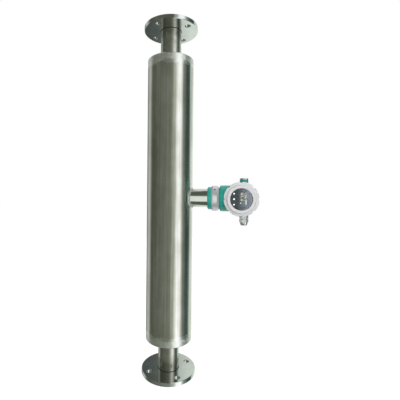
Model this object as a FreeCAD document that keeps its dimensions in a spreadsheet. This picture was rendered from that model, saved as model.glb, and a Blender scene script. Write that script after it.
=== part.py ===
import FreeCAD, Part
import math
import os
import re
import Sketcher
from FreeCAD import Placement, Rotation, Vector

# Coriolis mass flow meter, millimetres.
# The flow axis is +Z, from the centre of the lower sealing face. The transmitter stands out
# along +X just above half height, and its display looks along -Y.

# Driving sizes: every one is a cell of the sheet, and every feature is bound to those cells.
SIZES = {
    # process flanges
    "flange_od": 165.0,
    "flange_plate": 12.0,
    "flange_edge": 1.0,
    "raised_face_dia": 102.0,
    "raised_face": 2.0,
    "bolt_circle": 125.0,
    "bolt_hole_dia": 18.0,
    "lower_clock": 35.0,
    "upper_clock": 62.0,
    # necks between flange and case
    "neck_od": 63.5,
    "neck_bore": 52.0,
    "neck_reach": 90.0,
    "neck_relief": 1.2,
    "neck_relief_depth": 3.0,
    "weld_leg": 2.5,
    # case
    "case_od": 141.3,
    "case_wall": 4.0,
    "case_length": 858.0,
    "cap_thick": 8.0,
    "cap_corner": 4.0,
    "cap_skirt": 20.0,
    # measuring tubes and what ties them
    "manifold_gap": 14.0,
    "manifold_length": 44.0,
    "socket_depth": 12.0,
    "tube_od": 30.0,
    "tube_wall": 1.6,
    "tube_gap": 14.0,
    "brace_thick": 5.0,
    "brace_rim": 5.0,
    "brace_inset": 45.0,
    "brace_pitch": 38.0,
    # drive and pick-off sets
    "pickoff_reach": 215.0,
    "clamp_wall": 3.5,
    "clamp_width": 14.0,
    "arm_thick": 4.0,
    "coil_od": 22.0,
    "coil_groove": 1.5,
    "coil_flange": 2.0,
    "coil_bore": 13.0,
    "coil_length": 15.0,
    "magnet_dia": 10.0,
    "keeper_dia": 16.0,
    "keeper_thick": 3.0,
    "magnet_dip": 8.0,
    "sensor_dia": 6.0,
    "sensor_length": 24.0,
    "wire_dia": 3.0,
    "wire_lead": 5.0,
    "wire_room": 5.8,
    "wire_pitch": 5.0,
    # stub and swivel joint
    "stub_rise": 5.3,
    "stub_od": 57.0,
    "stub_wall": 3.0,
    "stub_length": 46.65,
    "feed_thick": 6.0,
    "pin_dia": 2.0,
    "pin_circle": 30.0,
    "pin_length": 14.0,
    "adapter_od": 68.0,
    "adapter_thick": 11.6,
    "adapter_bevel": 3.0,
    "adapter_bore": 38.0,
    "adapter_spigot": 10.0,
    "hub_od": 58.0,
    "hub_length": 15.0,
    "seal_dia": 2.0,
    "swivel_seal_dia": 48.0,
    "ring_od": 76.0,
    "ring_slope_in": 4.2,
    "ring_drop_in": 4.0,
    "ring_slope_out": 8.1,
    "ring_drop_out": 6.0,
    "ring_lip": 5.8,
    "ring_gap": 0.5,
    "grub_dia": 5.0,
    "grub_recess": 0.8,
    "spigot_flange": 3.2,
    "spigot_neck_od": 50.0,
    # housing
    "boss_od": 78.0,
    "boss_length": 60.5,
    "boss_bevel": 3.0,
    "barrel_od": 94.0,
    "barrel_edge": 1.5,
    "front_margin": 1.0,
    "rear_margin": 2.0,
    "thread_step": 5.0,
    "thread_length": 12.0,
    "thread_relief": 0.6,
    "thread_wall": 4.5,
    "wire_bore": 24.0,
    "partition_margin": 1.0,
    "partition_thick": 5.0,
    "entry_thread": 20.0,
    "entry_wall": 3.0,
    "entry_margin": 1.0,
    "entry_offset": 12.0,
    "entry_rise_top": 8.5,
    "entry_rise_bottom": 5.0,
    "earth_boss_dia": 10.0,
    "earth_boss_rise": 2.5,
    # covers
    "cover_gap": 0.4,
    "rim_roof": 2.0,
    "rim_step": 6.5,
    "rim_slope": 2.0,
    "bezel_width": 9.5,
    "bezel_edge": 2.0,
    "lug_height": 2.5,
    "lug_bevel": 1.5,
    "lug_angle": 36.0,
    "window_edge": 1.2,
    "window_lap": 3.0,
    "lip_thick": 2.5,
    "glass_thick": 6.0,
    "gasket_thick": 0.8,
    "retainer_gap": 1.1,
    "retainer_thick": 3.0,
    "retainer_step": 0.5,
    "rear_plate": 5.8,
    "dish_depth": 2.0,
    # display and electronics
    "display_gap": 2.5,
    "display_recess": 0.5,
    "plate_thick": 2.0,
    "carrier_depth": 13.0,
    "carrier_wall": 2.0,
    "board_thick": 1.6,
    "screen_width": 22.0,
    "screen_height": 38.0,
    "screen_offset": 4.0,
    "screen_sink": 0.2,
    "key_dia": 4.5,
    "key_reach": 20.0,
    "key_pitch": 15.6,
    "module_gap": 1.5,
    "module_edge": 3.0,
    "module_screw_dia": 4.0,
    "module_screw_head": 7.0,
    "module_screw_inset": 8.0,
    "module_screw_length": 16.0,
    "module_head_high": 2.6,
    "module_sink": 3.0,
    "terminal_width": 54.0,
    "terminal_depth": 22.0,
    "terminal_high": 14.0,
    "terminal_step": 9.0,
    "terminal_ledge": 6.0,
    "terminal_pitch": 6.0,
    "terminal_screw_dia": 4.0,
    "terminal_screw_length": 5.0,
    # entries
    "washer_rim": 2.5,
    "washer_thick": 1.2,
    "shank_length": 10.0,
    "plug_head": 5.0,
    "plug_socket": 10.0,
    "plug_socket_depth": 6.0,
    "gland_flats": 24.0,
    "gland_hex": 9.0,
    "gland_neck": 15.0,
    "gland_wall": 1.4,
    "gland_seal_wall": 1.3,
    "gland_seal_seat": 8.0,
    "gland_seal_proud": 1.5,
    "cable_bore": 12.0,
    "cable_room": 0.5,
    "nut_gap": 1.0,
    "nut_hex": 10.0,
    "nut_dome": 6.0,
    "nut_end": 4.0,
    "hex_bevel": 1.2,
    "earth_screw_dia": 5.0,
    "earth_head_dia": 9.0,
    "earth_head": 4.0,
    "earth_length": 8.0,
    "earth_washer_dia": 10.0,
    "earth_washer": 1.5,
    # clearances
    "fit_gap": 0.1,
    "run_gap": 0.3,
}

BOLT_COUNT = 4
BRACE_COUNT = 2
PIN_COUNT = 9
GRUB_COUNT = 3
LUG_COUNT = 8
KEY_ROWS = (1, 0, -1)
TERMINAL_COUNT = 8
MODULE_SCREW_COUNT = 3
GRUB_CLOCK = 45
LUG_CLOCK = 22.5

# Places that several pieces share, worked out from the driving sizes.
FLANGE = "(raised_face + flange_plate)"
CAP_FACE = "(raised_face + flange_plate + neck_reach)"
HEIGHT = "(2 * (raised_face + flange_plate + neck_reach) + case_length)"
MID = "(raised_face + flange_plate + neck_reach + case_length / 2)"
STUB_AXIS = f"({MID} + stub_rise)"
CASE_BORE = "(case_od / 2 - case_wall)"
MANIFOLD_FACE = "(raised_face + flange_plate + neck_reach + cap_thick)"
TUBE_SEAT = "(raised_face + flange_plate + neck_reach + cap_thick + manifold_length - socket_depth)"
SPACING = "((tube_od + tube_gap) / 2)"
CLAMP_BORE = "(tube_od / 2 + fit_gap)"
CLAMP_RIM = "(tube_od / 2 + fit_gap + clamp_wall)"
COIL_REACH = "(tube_od / 2 + fit_gap + clamp_wall + coil_od / 2)"
ARM_TIP = "(tube_od / 2 + fit_gap + clamp_wall + coil_od)"
ARM_FACE = "((tube_od + tube_gap) / 2 - arm_thick / 2)"
STUB_END = "(case_od / 2 + stub_length)"
STUB_BORE = "(stub_od / 2 - stub_wall)"
ADAPTER_FACE = "(case_od / 2 + stub_length + adapter_thick)"
HUB_END = "(case_od / 2 + stub_length + adapter_thick + hub_length)"
RING_SHOULDER = "(case_od / 2 + stub_length + adapter_thick + hub_length + 2 * run_gap + spigot_flange)"
RING_END = (
    "(case_od / 2 + stub_length + adapter_thick + hub_length + 2 * run_gap + spigot_flange + ring_lip)"
)
GRUB_X = f"(({ADAPTER_FACE} + ring_slope_in + {RING_END} - ring_slope_out) / 2)"
BARREL_X = (
    "(case_od / 2 + stub_length + adapter_thick + hub_length + 2 * run_gap + spigot_flange"
    " + ring_lip + ring_gap + boss_length)"
)
SPIGOT_BACK = "(boss_length + ring_gap + ring_lip + run_gap)"
SPIGOT_FACE = "(boss_length + ring_gap + ring_lip + run_gap + spigot_flange)"
SPIGOT = "(hub_od / 2 + fit_gap - run_gap)"
BARREL = "(barrel_od / 2)"
BARREL_FRONT = "(boss_od / 2 + front_margin)"
PARTITION_FRONT = "(wire_bore / 2 + partition_margin)"
PARTITION_REAR = f"({PARTITION_FRONT} + partition_thick)"
ENTRY_X = f"({BARREL_X} + entry_offset)"
ENTRY_DEPTH = f"({PARTITION_REAR} + entry_margin + entry_thread / 2)"
ENTRY_BOSS = "(entry_thread / 2 + entry_wall)"
ENTRY_TOP = f"({BARREL} + entry_rise_top)"
ENTRY_BOTTOM = f"({BARREL} + entry_rise_bottom)"
BARREL_REAR = f"max({BARREL_FRONT}; {ENTRY_DEPTH} + {ENTRY_BOSS} + rear_margin)"
THREAD = f"({BARREL} - thread_step)"
CAVITY = f"({THREAD} - thread_wall)"
THREAD_BORE = f"({THREAD} + run_gap)"
COVER_SEAL = f"({THREAD_BORE} + run_gap + seal_dia / 2)"
SEAL_POCKET = f"({THREAD} + 3 * run_gap + seal_dia)"
COVER = f"({BARREL} + lug_height)"
BEZEL = f"({BARREL} - rim_step)"
WINDOW = f"({BEZEL} - bezel_width)"
GLASS = f"({WINDOW} + window_lap)"
GLASS_BACK = f"({BARREL_FRONT} + thread_length + retainer_gap + retainer_thick)"
GLASS_FRONT = f"({GLASS_BACK} + glass_thick)"
GLASS_SEAT = f"({GLASS_FRONT} + gasket_thick)"
COVER_FRONT = f"({GLASS_SEAT} + lip_thick)"
DISPLAY = f"({CAVITY} - display_gap)"
DISPLAY_FRONT = f"({BARREL_FRONT} + thread_length - display_recess)"
PLATE_BACK = f"({DISPLAY_FRONT} - plate_thick)"
DISPLAY_BACK = f"({PLATE_BACK} - carrier_depth)"
MODULE = f"({CAVITY} - module_gap)"
MODULE_SCREW = f"({MODULE} - module_screw_inset)"
SHANK = "(entry_thread / 2 - run_gap)"
WASHER = "(entry_thread / 2 + washer_rim)"
GLAND_BORE = "(cable_bore / 2 + cable_room)"
GLAND_SEAL = "(cable_bore / 2 + gland_seal_wall)"
GLAND_SEAT = "(cable_bore / 2 + gland_seal_wall + run_gap)"
GLAND_NECK = "(cable_bore / 2 + gland_seal_wall + run_gap + gland_wall)"
GLAND_NECK_START = "(washer_thick + gland_hex)"
GLAND_NECK_END = "(washer_thick + gland_hex + gland_neck)"
GLAND_SEAL_END = "(washer_thick + gland_hex + gland_neck + gland_seal_proud)"
NUT_START = "(washer_thick + gland_hex + nut_gap)"
NUT_HEX_END = "(washer_thick + gland_hex + nut_gap + nut_hex)"
NUT_SEAT = "(washer_thick + gland_hex + gland_neck + gland_seal_proud + run_gap)"
NUT_END = "(washer_thick + gland_hex + gland_neck + gland_seal_proud + run_gap + nut_end)"
EARTH_SEAT = "(boss_od / 2 + earth_boss_rise)"
EARTH_X = "(-(boss_length + barrel_od / 2) / 2)"

# How a piece's own frame lies in the meter's frame.
UPRIGHT = Rotation()
UPSIDE_DOWN = Rotation(Vector(1, 0, 0), 180)
ALONG_STUB = Rotation(Vector(1, 1, 1), 120)
FACING_FRONT = Rotation(Vector(1, 0, 0), 90)
FACING_REAR = Rotation(Vector(0, 0, 1), 180).multiply(Rotation(Vector(1, 0, 0), 90))

AT_LOWER_FACE = (UPRIGHT, ("0", "0", "0"))
AT_UPPER_FACE = (UPSIDE_DOWN, ("0", "0", HEIGHT))
AT_MIDDLE = (UPRIGHT, ("0", "0", MID))
ON_STUB = (ALONG_STUB, ("0", "0", STUB_AXIS))
ON_RING = (ALONG_STUB.multiply(Rotation(Vector(0, 0, 1), GRUB_CLOCK)), ("0", "0", STUB_AXIS))
BY_LUGS = Rotation(Vector(0, 0, 1), LUG_CLOCK)
IN_FRONT = (FACING_FRONT, (BARREL_X, "0", STUB_AXIS))
AT_REAR = (FACING_REAR, (BARREL_X, "0", STUB_AXIS))
FRONT_COVER = (FACING_FRONT.multiply(BY_LUGS), (BARREL_X, "0", STUB_AXIS))
REAR_COVER = (FACING_REAR.multiply(BY_LUGS), (BARREL_X, "0", STUB_AXIS))
AT_PLUG = (UPRIGHT, (ENTRY_X, ENTRY_DEPTH, f"{STUB_AXIS} + {ENTRY_TOP}"))
AT_GLAND = (UPSIDE_DOWN, (ENTRY_X, ENTRY_DEPTH, f"{STUB_AXIS} - {ENTRY_BOTTOM}"))
ENDS = {"lower": AT_LOWER_FACE, "upper": AT_UPPER_FACE}

WORD = re.compile(r"[a-z_]+")

# Where sketch lines and circles start, before their dimensions move them into place.
START_REACH = 9
START_RADIUS = 5

doc = FreeCAD.newDocument("coriolis_flow_meter")
sheet = doc.addObject("Spreadsheet::Sheet", "Sizes")
for row, (alias, number) in enumerate(SIZES.items(), start=1):
    sheet.set(f"A{row}", alias.replace("_", " "))
    sheet.set(f"B{row}", str(number))
    sheet.setAlias(f"B{row}", alias)
doc.recompute()

nodes = []


def cells(expression):
    """Turn each size's name in an expression into a reference to its cell."""
    return WORD.sub(lambda word: f"Sizes.{word[0]}" if word[0] in SIZES else word[0], expression)


def new_body(label, place, group=False):
    """Start a piece: a body with its own label, turned and placed by the sheet."""
    body = doc.addObject("PartDesign::Body", label)
    body.Label = label
    body.AllowCompound = group
    turn, base = place
    body.Placement = Placement(Vector(), turn)
    for axis, expression in zip("xyz", base):
        body.setExpression(f"Placement.Base.{axis}", cells(expression))
    nodes.append(body)
    return body


def origin(body, role):
    return next(feature for feature in body.Origin.OriginFeatures if feature.Role == role)


def sketch(body, name, plane, lift="0"):
    """Lay an empty sketch on one of the body's own planes, lifted along the plane's normal."""
    drawing = body.newObject("Sketcher::SketchObject", f"{body.Name}_{name}")
    drawing.AttachmentSupport = [(origin(body, plane), "")]
    drawing.MapMode = "FlatFace"
    drawing.setExpression("AttachmentOffset.Base.z", cells(lift))
    return drawing


def bind(drawing, kind, geometry, point, expression):
    """Add a dimension to a sketch and bind it to the sheet."""
    start = drawing.getPoint(geometry, point)
    value = start.x if kind == "DistanceX" else start.y
    index = drawing.addConstraint(Sketcher.Constraint(kind, geometry, point, value))
    drawing.setExpression(f"Constraints[{index}]", cells(expression))


def bind_radius(drawing, geometry, expression):
    index = drawing.addConstraint(Sketcher.Constraint("Radius", geometry, START_RADIUS))
    drawing.setExpression(f"Constraints[{index}]", cells(expression))


def outline(body, name, corners, plane="XZ_Plane", lift="0"):
    """Draw a closed outline of straight lines through corners given as expressions."""
    drawing = sketch(body, name, plane, lift)
    count = len(corners)
    turns = [Rotation(Vector(0, 0, 1), 360 * k / count) for k in range(count)]
    ring = [turn.multVec(Vector(START_REACH, 0, 0)) for turn in turns]
    for k in range(count):
        drawing.addGeometry(Part.LineSegment(ring[k], ring[(k + 1) % count]), False)
    for k in range(count):
        drawing.addConstraint(Sketcher.Constraint("Coincident", k, 2, (k + 1) % count, 1))
    for k, (across, along) in enumerate(corners):
        bind(drawing, "DistanceX", k, 1, across)
        bind(drawing, "DistanceY", k, 1, along)
    return drawing


def circles(body, name, rounds, plane="XY_Plane", lift="0"):
    """Draw circles, each given by its centre and radius as expressions."""
    drawing = sketch(body, name, plane, lift)
    for k, (across, along, radius) in enumerate(rounds):
        centre = Vector(START_REACH, START_REACH, 0)
        drawing.addGeometry(Part.Circle(centre, Vector(0, 0, 1), START_RADIUS), False)
        bind(drawing, "DistanceX", k, 3, across)
        bind(drawing, "DistanceY", k, 3, along)
        bind_radius(drawing, k, radius)
    return drawing


def slot(body, name, half_spacing, radius):
    """Draw a long hole's outline: two half circles on the Y axis, joined by straight sides."""
    drawing = sketch(body, name, "XY_Plane")
    up = Vector(0, START_REACH, 0)
    right = Vector(START_RADIUS, 0, 0)
    turn = Vector(0, 0, 1)
    upper = Part.Circle(up, turn, START_RADIUS)
    lower = Part.Circle(-up, turn, START_RADIUS)
    drawing.addGeometry(Part.ArcOfCircle(upper, 0, math.pi), False)
    drawing.addGeometry(Part.ArcOfCircle(lower, math.pi, 2 * math.pi), False)
    drawing.addGeometry(Part.LineSegment(up - right, -up - right), False)
    drawing.addGeometry(Part.LineSegment(right - up, right + up), False)
    for first, first_end, second, second_end in ((0, 2, 2, 1), (2, 2, 1, 1), (1, 2, 3, 1), (3, 2, 0, 1)):
        drawing.addConstraint(Sketcher.Constraint("Coincident", first, first_end, second, second_end))
    for arc, side in ((0, ""), (1, "-")):
        bind(drawing, "DistanceX", arc, 3, "0")
        bind(drawing, "DistanceY", arc, 3, side + half_spacing)
        drawing.addConstraint(Sketcher.Constraint("Horizontal", arc, 1, arc, 3))
        drawing.addConstraint(Sketcher.Constraint("Horizontal", arc, 2, arc, 3))
        bind_radius(drawing, arc, radius)
    return drawing


def hexagon(flats):
    """Corners of a hexagon, given its width across flats."""
    return [(f"{flats} / sqrt(3) * cos({60 * k})", f"{flats} / sqrt(3) * sin({60 * k})") for k in range(6)]


def revolve(body, name, corners, axis="V_Axis", angle=None, cut=False):
    """Turn an outline about an axis of its sketch, to add or to cut."""
    drawing = outline(body, name + "_profile", corners)
    return spin(body, name, drawing, axis, angle, cut)


def spin(body, name, drawing, axis="V_Axis", angle=None, cut=False):
    feature = body.newObject("PartDesign::Groove" if cut else "PartDesign::Revolution", f"{body.Name}_{name}")
    feature.Profile = drawing
    feature.ReferenceAxis = (drawing, [axis])
    feature.Angle = 360
    if angle:
        feature.Midplane = True
        feature.setExpression("Angle", cells(angle))
    doc.recompute()
    return feature


def pad(body, name, drawing, length, reverse=False, both=False):
    feature = body.newObject("PartDesign::Pad", f"{body.Name}_{name}")
    feature.Profile = drawing
    feature.Reversed = reverse
    feature.Midplane = both
    feature.setExpression("Length", cells(length))
    doc.recompute()
    return feature


def pocket(body, name, drawing, length=None, reverse=False, both=False):
    """Cut a sketch into the body, right through where no length is given, and test that it cut."""
    before = body.Shape.Volume
    feature = body.newObject("PartDesign::Pocket", f"{body.Name}_{name}")
    feature.Profile = drawing
    feature.Reversed = reverse
    feature.Midplane = both
    if length:
        feature.setExpression("Length", cells(length))
    else:
        feature.Type = "ThroughAll"
    doc.recompute()
    if feature.Shape.Volume >= before:
        raise RuntimeError(f"{feature.Name} cuts nothing")
    return feature


def round_pattern(body, name, originals, count):
    feature = body.newObject("PartDesign::PolarPattern", f"{body.Name}_{name}")
    feature.Originals = originals
    feature.Axis = (origin(body, "Z_Axis"), [""])
    feature.Angle = 360
    feature.Occurrences = count
    body.Tip = feature
    doc.recompute()
    return feature


def row_pattern(body, name, originals, axis, length, count):
    feature = body.newObject("PartDesign::LinearPattern", f"{body.Name}_{name}")
    feature.Originals = originals
    feature.Direction = (origin(body, axis), [""])
    feature.setExpression("Length", cells(length))
    feature.Occurrences = count
    body.Tip = feature
    doc.recompute()
    return feature


def mirror(body, name, originals, plane):
    feature = body.newObject("PartDesign::Mirrored", f"{body.Name}_{name}")
    feature.Originals = originals
    feature.MirrorPlane = (origin(body, plane), [""])
    body.Tip = feature
    doc.recompute()
    return feature


def round_edges(body, name, base, radius, wanted):
    """Round the edges of a feature that a test picks."""
    picked = [f"Edge{k}" for k, edge in enumerate(base.Shape.Edges, start=1) if wanted(edge)]
    feature = body.newObject("PartDesign::Fillet", f"{body.Name}_{name}")
    feature.Base = (base, picked)
    feature.setExpression("Radius", cells(radius))
    doc.recompute()
    return feature


def is_ring(edge):
    return isinstance(edge.Curve, Part.Circle)


# Process connections and case


def make_flange(end):
    """Plate flange with a raised sealing face, slipped over the neck, with a weld relief round it."""
    body = new_body(f"{end}_flange", ENDS[end])
    bore = "neck_od / 2 + fit_gap"
    revolve(body, "plate", [
        (bore, "0"),
        ("raised_face_dia / 2", "0"),
        ("raised_face_dia / 2", "raised_face"),
        ("flange_od / 2 - flange_edge", "raised_face"),
        ("flange_od / 2", "raised_face + flange_edge"),
        ("flange_od / 2", f"{FLANGE} - flange_edge"),
        ("flange_od / 2 - flange_edge", FLANGE),
        (f"{bore} + neck_relief", FLANGE),
        (f"{bore} + neck_relief", f"{FLANGE} - neck_relief_depth"),
        (bore, f"{FLANGE} - neck_relief_depth"),
    ])
    clock = "lower_clock" if end == "lower" else "-upper_clock"
    hole = circles(body, "hole_place", [
        (f"bolt_circle / 2 * cos({clock})", f"bolt_circle / 2 * sin({clock})", "bolt_hole_dia / 2"),
    ])
    cut = pocket(body, "hole", hole, both=True)
    round_pattern(body, "holes", [cut], BOLT_COUNT)


def make_neck(end):
    """Plain pipe from the sealing face to the manifold."""
    body = new_body(f"{end}_neck", ENDS[end])
    revolve(body, "pipe", [
        ("neck_bore / 2", "0"),
        ("neck_od / 2", "0"),
        ("neck_od / 2", MANIFOLD_FACE),
        ("neck_bore / 2", MANIFOLD_FACE),
    ])


def make_end_cap(end):
    """Dished end of the case, welded to the neck, with a rounded shoulder."""
    body = new_body(f"{end}_end_cap", ENDS[end])
    bore = "neck_od / 2 + fit_gap"
    dish = revolve(body, "dish", [
        (bore, f"{CAP_FACE} - weld_leg"),
        (f"{bore} + weld_leg", CAP_FACE),
        ("case_od / 2", CAP_FACE),
        ("case_od / 2", f"{CAP_FACE} + cap_skirt"),
        (CASE_BORE, f"{CAP_FACE} + cap_skirt"),
        (CASE_BORE, MANIFOLD_FACE),
        (bore, MANIFOLD_FACE),
    ])
    rings = [edge.Curve for edge in dish.Shape.Edges if is_ring(edge)]
    widest = max(ring.Radius for ring in rings)
    face = min(ring.Center.z for ring in rings if ring.Radius == widest)
    round_edges(body, "shoulder", dish, "cap_corner", lambda edge: (
        is_ring(edge) and edge.Curve.Radius == widest and edge.Curve.Center.z == face
    ))


def make_case_tube():
    """Long pipe round the measuring tubes, with the hole that leads into the stub."""
    body = new_body("case_tube", AT_MIDDLE)
    half = "(case_length / 2 - cap_skirt)"
    revolve(body, "pipe", [
        (CASE_BORE, f"-{half}"),
        ("case_od / 2", f"-{half}"),
        ("case_od / 2", half),
        (CASE_BORE, half),
    ])
    branch = circles(body, "branch_place", [("0", "stub_rise", STUB_BORE)], plane="YZ_Plane")
    pocket(body, "branch", branch, "case_od", reverse=True)


# Measuring system inside the case


def make_manifold(end):
    """Flow splitter: one round inlet runs out into the two tube sockets."""
    body = new_body(f"{end}_manifold", ENDS[end])
    block = circles(body, "block_round", [("0", "0", f"{CASE_BORE} - manifold_gap")], lift=MANIFOLD_FACE)
    pad(body, "block", block, "manifold_length")
    for side, sign in (("front", "-"), ("rear", "")):
        inlet = circles(body, f"{side}_inlet", [("0", "0", "neck_bore / 2")], lift=MANIFOLD_FACE)
        outlet = circles(
            body, f"{side}_outlet", [("0", sign + SPACING, "tube_od / 2 - tube_wall")], lift=TUBE_SEAT
        )
        passage = body.newObject("PartDesign::SubtractiveLoft", f"{body.Name}_{side}_passage")
        passage.Profile = inlet
        passage.Sections = [outlet]
        doc.recompute()
    sockets = circles(
        body, "socket_rounds", [("0", sign + SPACING, CLAMP_BORE) for sign in ("-", "")], lift=TUBE_SEAT
    )
    pocket(body, "sockets", sockets, "socket_depth", reverse=True)


def make_measuring_tube(side, sign):
    """Thin straight tube that vibrates, brazed into both manifolds."""
    body = new_body(f"{side}_measuring_tube", AT_LOWER_FACE)
    wall = circles(body, "wall_rounds", [
        ("0", sign + SPACING, "tube_od / 2"),
        ("0", sign + SPACING, "tube_od / 2 - tube_wall"),
    ], lift=TUBE_SEAT)
    pad(body, "wall", wall, f"{HEIGHT} - 2 * {TUBE_SEAT}")


def make_brace_plates(end):
    """Plates that tie both tubes together and set where the vibration starts."""
    body = new_body(f"{end}_brace_plates", ENDS[end], group=True)
    first = f"{TUBE_SEAT} + socket_depth + brace_inset"
    shape = slot(body, "plate_outline", SPACING, "tube_od / 2 + brace_rim")
    shape.setExpression("AttachmentOffset.Base.z", cells(first))
    plate = pad(body, "plate", shape, "brace_thick")
    holes = circles(
        body, "tube_rounds", [("0", sign + SPACING, CLAMP_BORE) for sign in ("-", "")], lift=first
    )
    cut = pocket(body, "tube_holes", holes, "brace_thick", reverse=True)
    row_pattern(body, "row", [plate, cut], "Z_Axis", "brace_pitch", BRACE_COUNT)


def station(height):
    """Frame of a coil and magnet set at a height from the middle of the tubes."""
    return (UPRIGHT, ("0", "0", MID + height))


def make_brackets(label, height):
    """A clamp with an arm on each tube: one carries the coil, the other the magnet."""
    body = new_body(label, station(height), group=True)
    band = circles(body, "band_rounds", [
        ("0", "-" + SPACING, CLAMP_RIM),
        ("0", "-" + SPACING, CLAMP_BORE),
    ])
    clamp = pad(body, "band", band, "clamp_width", both=True)
    outer = f"-{SPACING} - arm_thick / 2"
    inner = f"-{SPACING} + arm_thick / 2"
    root = f"{CLAMP_BORE} + clamp_wall / 2"
    corners = [(root, outer), (ARM_TIP, outer), (ARM_TIP, inner), (root, inner)]
    plate = outline(body, "arm_outline", corners, plane="XY_Plane")
    arm = pad(body, "arm", plate, "clamp_width", both=True)
    mirror(body, "pair", [clamp, arm], "XZ_Plane")


def make_coil(label, height):
    """Wound bobbin on the front arm, open along its axis."""
    body = new_body(label, (FACING_REAR, (COIL_REACH, "-" + ARM_FACE, MID + height)))
    revolve(body, "bobbin", [
        ("coil_bore / 2", "0"),
        ("coil_od / 2", "0"),
        ("coil_od / 2", "coil_flange"),
        ("coil_od / 2 - coil_groove", "coil_flange"),
        ("coil_od / 2 - coil_groove", "coil_length - coil_flange"),
        ("coil_od / 2", "coil_length - coil_flange"),
        ("coil_od / 2", "coil_length"),
        ("coil_bore / 2", "coil_length"),
    ])


def make_magnet(label, height):
    """Rod magnet with its keeper plate on the rear arm, dipping into the coil."""
    body = new_body(label, (FACING_FRONT, (COIL_REACH, ARM_FACE, MID + height)))
    tip = f"2 * {ARM_FACE} - coil_length + magnet_dip"
    revolve(body, "rod", [
        ("0", "0"),
        ("keeper_dia / 2", "0"),
        ("keeper_dia / 2", "keeper_thick"),
        ("magnet_dia / 2", "keeper_thick"),
        ("magnet_dia / 2", tip),
        ("0", tip),
    ])


def make_temperature_sensor():
    """Resistance thermometer strapped along the front tube, below the drive set."""
    body = new_body("temperature_sensor", (
        UPRIGHT, ("-(tube_od / 2 + sensor_dia / 2 + fit_gap)", "-" + SPACING, f"{MID} - pickoff_reach / 2")
    ))
    revolve(body, "capsule", [
        ("0", "0"),
        ("sensor_dia / 3", "0"),
        ("sensor_dia / 2", "sensor_dia / 6"),
        ("sensor_dia / 2", "sensor_length - sensor_dia / 6"),
        ("sensor_dia / 3", "sensor_length"),
        ("0", "sensor_length"),
    ])


def size(name):
    return float(sheet.get(name))


def bent_lead(tip, feed, depth, up):
    """Path of one pick-off lead: straight runs joined by quarter bends, above or below the stub's axis."""
    bore = size("case_od") / 2 - size("case_wall")
    run = math.sqrt(bore ** 2 - depth ** 2) - size("wire_dia") / 2 - size("wire_room")
    bend = run - tip - size("wire_lead")
    sag = bend * (1 - math.cos(math.pi / 4))

    def point(across, along):
        return Vector(across, depth, up * along)

    reach = size("pickoff_reach") - up * size("stub_rise")
    pitch = size("wire_pitch")
    return [
        Part.LineSegment(point(tip, reach), point(run - bend, reach)),
        Part.Arc(point(run - bend, reach), point(run - sag, reach - sag), point(run, reach - bend)),
        Part.LineSegment(point(run, reach - bend), point(run, pitch + bend)),
        Part.Arc(point(run, pitch + bend), point(run + sag, pitch + sag), point(run + bend, pitch)),
        Part.LineSegment(point(run + bend, pitch), point(feed, pitch)),
    ]


def make_signal_wires():
    """Leads from the feedthrough to the arm of each coil."""
    tip = size("tube_od") / 2 + size("fit_gap") + size("clamp_wall") + size("coil_od")
    feed = size("case_od") / 2 + size("stub_length") - size("adapter_spigot") - size("feed_thick")
    depth = -(size("tube_od") + size("tube_gap")) / 2
    straight = [Part.LineSegment(Vector(tip, depth, 0), Vector(feed, depth, 0))]
    solids = []
    for path in (straight, bent_lead(tip, feed, depth, 1), bent_lead(tip, feed, depth, -1)):
        lead = Part.Wire([piece.toShape() for piece in path])
        end = Part.Circle(path[0].StartPoint, Vector(1, 0, 0), size("wire_dia") / 2)
        solids.append(lead.makePipeShell([Part.Wire([end.toShape()])], True, False))
    wires = doc.addObject("Part::Feature", "signal_wires")
    wires.Shape = Part.makeCompound(solids)
    wires.setExpression("Placement.Base.z", cells(STUB_AXIS))
    nodes.append(wires)


# Stub and swivel joint


def make_stub_tube():
    """Short branch pipe, coped to sit on the case."""
    body = new_body("stub_tube", ON_STUB)
    root = "(case_od / 2 - stub_od / 2)"
    revolve(body, "pipe", [
        (STUB_BORE, root),
        ("stub_od / 2", root),
        ("stub_od / 2", STUB_END),
        (STUB_BORE, STUB_END),
    ])
    saddle = circles(body, "saddle_round", [("0", "0", "case_od / 2 + fit_gap")], plane="XZ_Plane")
    pocket(body, "saddle", saddle, both=True)


def make_feedthrough():
    """Sealed disc behind the adapter, with the pins that carry the signals out."""
    body = new_body("feedthrough", ON_STUB)
    back = f"({STUB_END} - adapter_spigot - feed_thick)"
    disc = circles(body, "disc_round", [("0", "0", f"{STUB_BORE} - fit_gap")], lift=back)
    pad(body, "disc", disc, "feed_thick")
    start = f"{back} + feed_thick / 2 - pin_length / 2"
    pin_place = circles(body, "pin_place", [("pin_circle / 2", "0", "pin_dia / 2")], lift=start)
    pin = pad(body, "pin", pin_place, "pin_length")
    round_pattern(body, "pins", [pin], PIN_COUNT)


def make_neck_adapter():
    """Painted disc screwed to the stub: its hub takes the clamp ring and the swivel seal."""
    body = new_body("neck_adapter", ON_STUB)
    groove_in = "swivel_seal_dia / 2 - seal_dia / 2 - fit_gap"
    groove_out = "swivel_seal_dia / 2 + seal_dia / 2 + fit_gap"
    floor = f"{HUB_END} + run_gap - 2 * fit_gap - seal_dia"
    revolve(body, "disc", [
        ("adapter_bore / 2", f"{STUB_END} - adapter_spigot"),
        (f"{STUB_BORE} - fit_gap", f"{STUB_END} - adapter_spigot"),
        (f"{STUB_BORE} - fit_gap", STUB_END),
        ("adapter_od / 2 - adapter_bevel", STUB_END),
        ("adapter_od / 2", f"{STUB_END} + adapter_bevel"),
        ("adapter_od / 2", ADAPTER_FACE),
        ("hub_od / 2", ADAPTER_FACE),
        ("hub_od / 2", HUB_END),
        (groove_out, HUB_END),
        (groove_out, floor),
        (groove_in, floor),
        (groove_in, HUB_END),
        ("adapter_bore / 2", HUB_END),
    ])


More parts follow.
